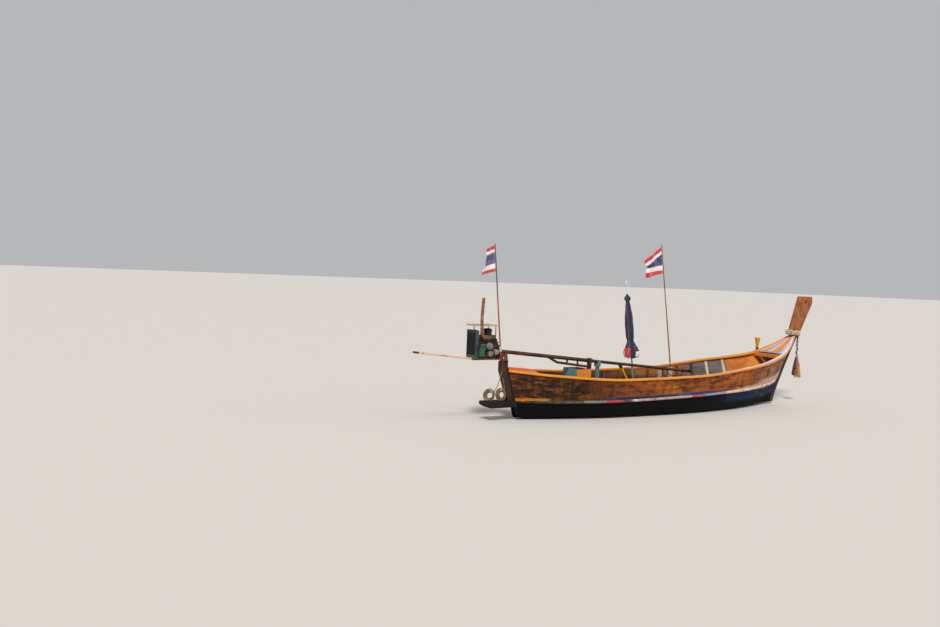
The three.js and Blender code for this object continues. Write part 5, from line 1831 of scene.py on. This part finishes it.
PLATE_WOOD = wood("sun_bleached_top_board", "#b8a080", "#8c7658", "#5a4a3a", 0.7)
parts = [(block("board", on_motor(-800, -162 + 65 * k, 1768), on_motor(-290, -100 + 65 * k, 1789.5), 0.004), 0)
         for k in range(5)]
for t in (-790, -560, -325):
    parts.append((block("batten", on_motor(t, -158, 1766.2), on_motor(t + 30, 158, 1769.5), 0.001, 1), 0))
for t in (-650, -330):
    for y in (-120, 120):
        parts.append((round_mesh("stay", on_motor(t, y, 1480.5), (0, 0, 1), ((0.008, 0), (0.008, 0.286)), 12), 1))
        parts.append((round_mesh("stay_foot", on_motor(t, y, 1480.5), (0, 0, 1), ((0.017, 0), (0.017, 0.005), (0.009, 0.008)), 16), 1))
        bolt(t, y, 1789.5, (0, 0, 1))
casting("engine_top_board", parts, PLATE_WOOD, BLOCK, node="top_plate", slot="engine_metal")
print("radiator has", len(fin_rows), "fins drawn at", 7.4, "mm")

# %% Round fittings, exhaust and tiller
cleaner = ((0.03, 0.0005), (0.07, 0.0006), (0.074, 0.004), (0.074, 0.052), (0.0845, 0.056), (0.085, 0.06), (0.085, 0.078),
           (0.078, 0.08), (0.076, 0.1), (0.066, 0.112), (0.03, 0.118), (0.012, 0.119), (0.01, 0.1235), (0, 0.124))
turned("air_cleaner_pot", on_motor(-430, 0, 1600.5), (0, 0, 1), cleaner, "motor", DARK_PAINTED, 36,
       replaces=("air_cleaner",), slot="engine_metal")
parts = [
    (round_mesh("case", on_motor(-480, -136.5, 1400), (0, -1, 0), ((0.03, 0), (0.058, 0.002), (0.0655, 0.012), (0.0655, 0.05),
     (0.06, 0.062), (0.03, 0.07), (0.022, 0.071)), 32), 0),
    (round_mesh("pulley", on_motor(-480, -207, 1400), (0, -1, 0), ((0.02, 0), (0.036, 0.001), (0.037, 0.004), (0.028, 0.012),
     (0.037, 0.02), (0.036, 0.023), (0.016, 0.024), (0.012, 0.029), (0, 0.029)), 28), 1),
]
for k in range(14):
    a = 2 * math.pi * k / 14
    arm = Vector((math.cos(a), 0, math.sin(a)))
    spot = on_motor(-480, -195, 1400) + arm * 0.044
    parts.append((block("vane", spot - Vector((0.003, 0.006, 0.003)), spot + Vector((0.003, 0.006, 0.003)), 0.001, 1), 2))
casting("ribbed_alternator", parts, CAST_ALLOY, WORN_STEEL, BLOCK, node="alternator")
parts = [
    (round_mesh("starter_case", on_motor(-345, -136.5, 1296), (0, -1, 0), ((0.03, 0), (0.046, 0.001), (0.0495, 0.008), (0.0495, 0.07),
     (0.045, 0.078), (0.02, 0.084), (0.012, 0.0895), (0, 0.0895)), 28), 0),
    (round_mesh("solenoid", on_motor(-376, -138, 1325), (0, -1, 0), ((0.02, 0), (0.0215, 0.003), (0.0215, 0.05),
     (0.012, 0.056), (0, 0.056)), 18), 1),
]
casting("starter_with_solenoid", parts, CAST_ALLOY, WORN_STEEL, node="starter_motor")
EXHAUST = ((-560, -96, 1540), (-600, -150, 1560), (-640, -172, 1640), (-668, -176, 1850), (-656, -170, 2060), (-640, -165, 2280))
line = curve_through([on_motor(*p) for p in EXHAUST], 64)
outer = tube_rings(line, lambda s: 0.0285 + (0.0045 if s < 0.05 else 0), 20)
inner = tube_rings(line[-8:], 0.0245, 20)
mouth = skin("exhaust", [*outer, *inner[::-1]])
bands = []
for share in (14, 15, 40):
    spot = line[share]
    bands.append((round_mesh("band", spot, line[share + 1] - line[share], ((0.029, 0), (0.0325, 0.001), (0.0325, 0.016), (0.029, 0.017)), 20), 1))
casting("rusty_exhaust_pipe", [(mouth, 0), *bands[1:]], EXHAUST_STEEL, WORN_STEEL, node="exhaust_stack", slot="steel")
TILLER = [on_motor(-790, -62, 1168).lerp(on_motor(-1985, -50, 1302), k / 40) for k in range(41)]
parts = [
    (skin("bar", tube_rings(TILLER, lambda s: 0.0158 - 0.0008 * (s > 0.9), 16)), 0),
    (round_mesh("grip", TILLER[36], TILLER[40] - TILLER[36], ((0.0165, 0), (0.0185, 0.004), (0.0175, 0.02), (0.019, 0.05), (0.0175, 0.08),
     (0.019, 0.11), (0.011, 0.1195), (0, 0.12)), 20), 1),
    (round_mesh("throttle_ring", TILLER[33], TILLER[40] - TILLER[36], ((0.0165, 0), (0.0225, 0.001), (0.0225, 0.012), (0.0165, 0.013)), 20), 2),
]
casting("tiller_bar", parts, PALE_TUBE, RUBBER, WORN_STEEL, node="tiller", slot="steel")
print("bolts so far:", len(BOLTS))

# %% Hoses, belt, wiring and bolts
HOSES = (
    ("upper_hose", 0.019, ((-708, 40, 1660), (-690, 44, 1662), (-676, 50, 1640), (-668, 50, 1604)), RUBBER),
    ("lower_hose", 0.019, ((-708, 100, 1204), (-698, 118, 1206), (-690, 128, 1224), (-676, 134, 1262)), RUBBER),
    ("fuel_hose", 0.005, ((-560, 132, 1392), (-540, 146, 1420), (-470, 140, 1500), (-420, 96, 1560), (-400, 60, 1600)), RUBBER),
    ("battery_cable", 0.006, ((-376, -190, 1325), (-376, -206, 1318), (-420, -212, 1270), (-520, -170, 1230), (-590, -120, 1210)), RUBBER),
)
for name, radius, points, material in HOSES:
    line = curve_through([on_motor(*p) for p in points], 40)
    tube(name, line, radius, "motor", material, 14 if radius > 0.01 else 10, slot="rubber")
crank, charger = on_motor(-480, -213, 1268), on_motor(-480, -213, 1400)
belt = []
for centre, r, start in ((charger, 0.032, 0), (crank, 0.046, math.pi)):
    for k in range(13):
        a = start + math.pi * k / 12
        belt.append(centre + Vector((r * math.cos(a), 0, r * math.sin(a))))
loop = [*belt, belt[0], belt[1]]
tube("fan_belt", loop, 0.0055, "motor", RUBBER, 8, slot="rubber")
turned("crank_pulley", on_motor(-480, -128, 1268), (0, -1, 0), ((0.02, 0), (0.02, 0.068), (0.05, 0.07), (0.051, 0.074), (0.042, 0.083),
       (0.051, 0.092), (0.05, 0.096), (0.018, 0.097), (0, 0.098)), "motor", WORN_STEEL, 28, slot="engine_metal")
for t in (-740, -640, -500, -360, -220):
    for y in (-85, 85):
        bolt(t, y, 1176, (0, 0, 1))
set_on_points("engine_bolts", BOLTS, scaled(BOLT, 0.0056), WORN_STEEL, "motor", 7, slot="steel")
print("bolts set:", len(BOLTS))

# %% [markdown]
# ## Nails in the planking
# Every plank is nailed to every rib; here the nails are set two at each rib in the planks
# above the chine. Their places come from the same table of ribs and seams as the hull.

# %% Nails and rubber pads
def plank_nails():
    places = []
    rows = [(a + b) / 2 for a, b in zip(SEAMS[4:], SEAMS[5:])] + [2.95]
    for t in RIB_PLACES:
        for p in rows:
            u = u_where(t, p, 0)
            for du in (-0.0022, 0.0022):
                for side in (-1, 1):
                    spot = on_hull(u + du, p, 0, side)
                    places.append((spot, on_hull(u + du, p, -0.01, side) - spot))
    return places


NAILS = plank_nails()
set_on_points("plank_nails", NAILS, scaled(NAIL, 0.0052), RUSTY, "hull", 3, slot="steel")
finished_copy("prop_pad", RUBBER, 0.006)
print("nails:", len(NAILS))

# %% [markdown]
# ## Floor and light
# The boat stands on a pale, even floor in soft studio light, high and from the left, as the
# sun stood in the picture.

# %% Floor and lights
FLOOR_PAINT, floor_tree, floor_shader = finish_named("pale_floor", 0.85)
floor_shader.inputs["Base Color"].default_value = paint("#c9c4bc")
floor_mesh = bpy.data.meshes.new("floor")
floor_mesh.from_pydata([(x, y, 0) for x, y in ((-400, -400), (400, -400), (400, 400), (-400, 400))], [], [(0, 1, 2, 3)])
floor_mesh.materials.append(FLOOR_PAINT)
floor = bpy.data.objects.new("floor", floor_mesh)
bpy.context.scene.collection.objects.link(floor)


def sun(name, way, energy, angle):
    """A distant lamp that shines from the direction way."""
    data = bpy.data.lights.new(name, "SUN")
    data.energy = energy
    data.angle = math.radians(angle)
    lamp = bpy.data.objects.new(name, data)
    lamp.rotation_euler = Vector(way).to_track_quat("Z", "Y").to_euler()
    bpy.context.scene.collection.objects.link(lamp)


sun("key", (-0.55, -0.75, 1.0), 2.9, 12)
sun("fill", (0.8, -0.5, 0.5), 0.5, 40)
world = bpy.data.worlds.new("soft_sky")
world.use_nodes = True
backdrop = world.node_tree.nodes["Background"]
backdrop.inputs["Color"].default_value = paint("#e4e6e8")
backdrop.inputs["Strength"].default_value = 0.6
bpy.context.scene.world = world
bpy.context.scene.view_settings.view_transform = "Standard"
print("floor and light ready")
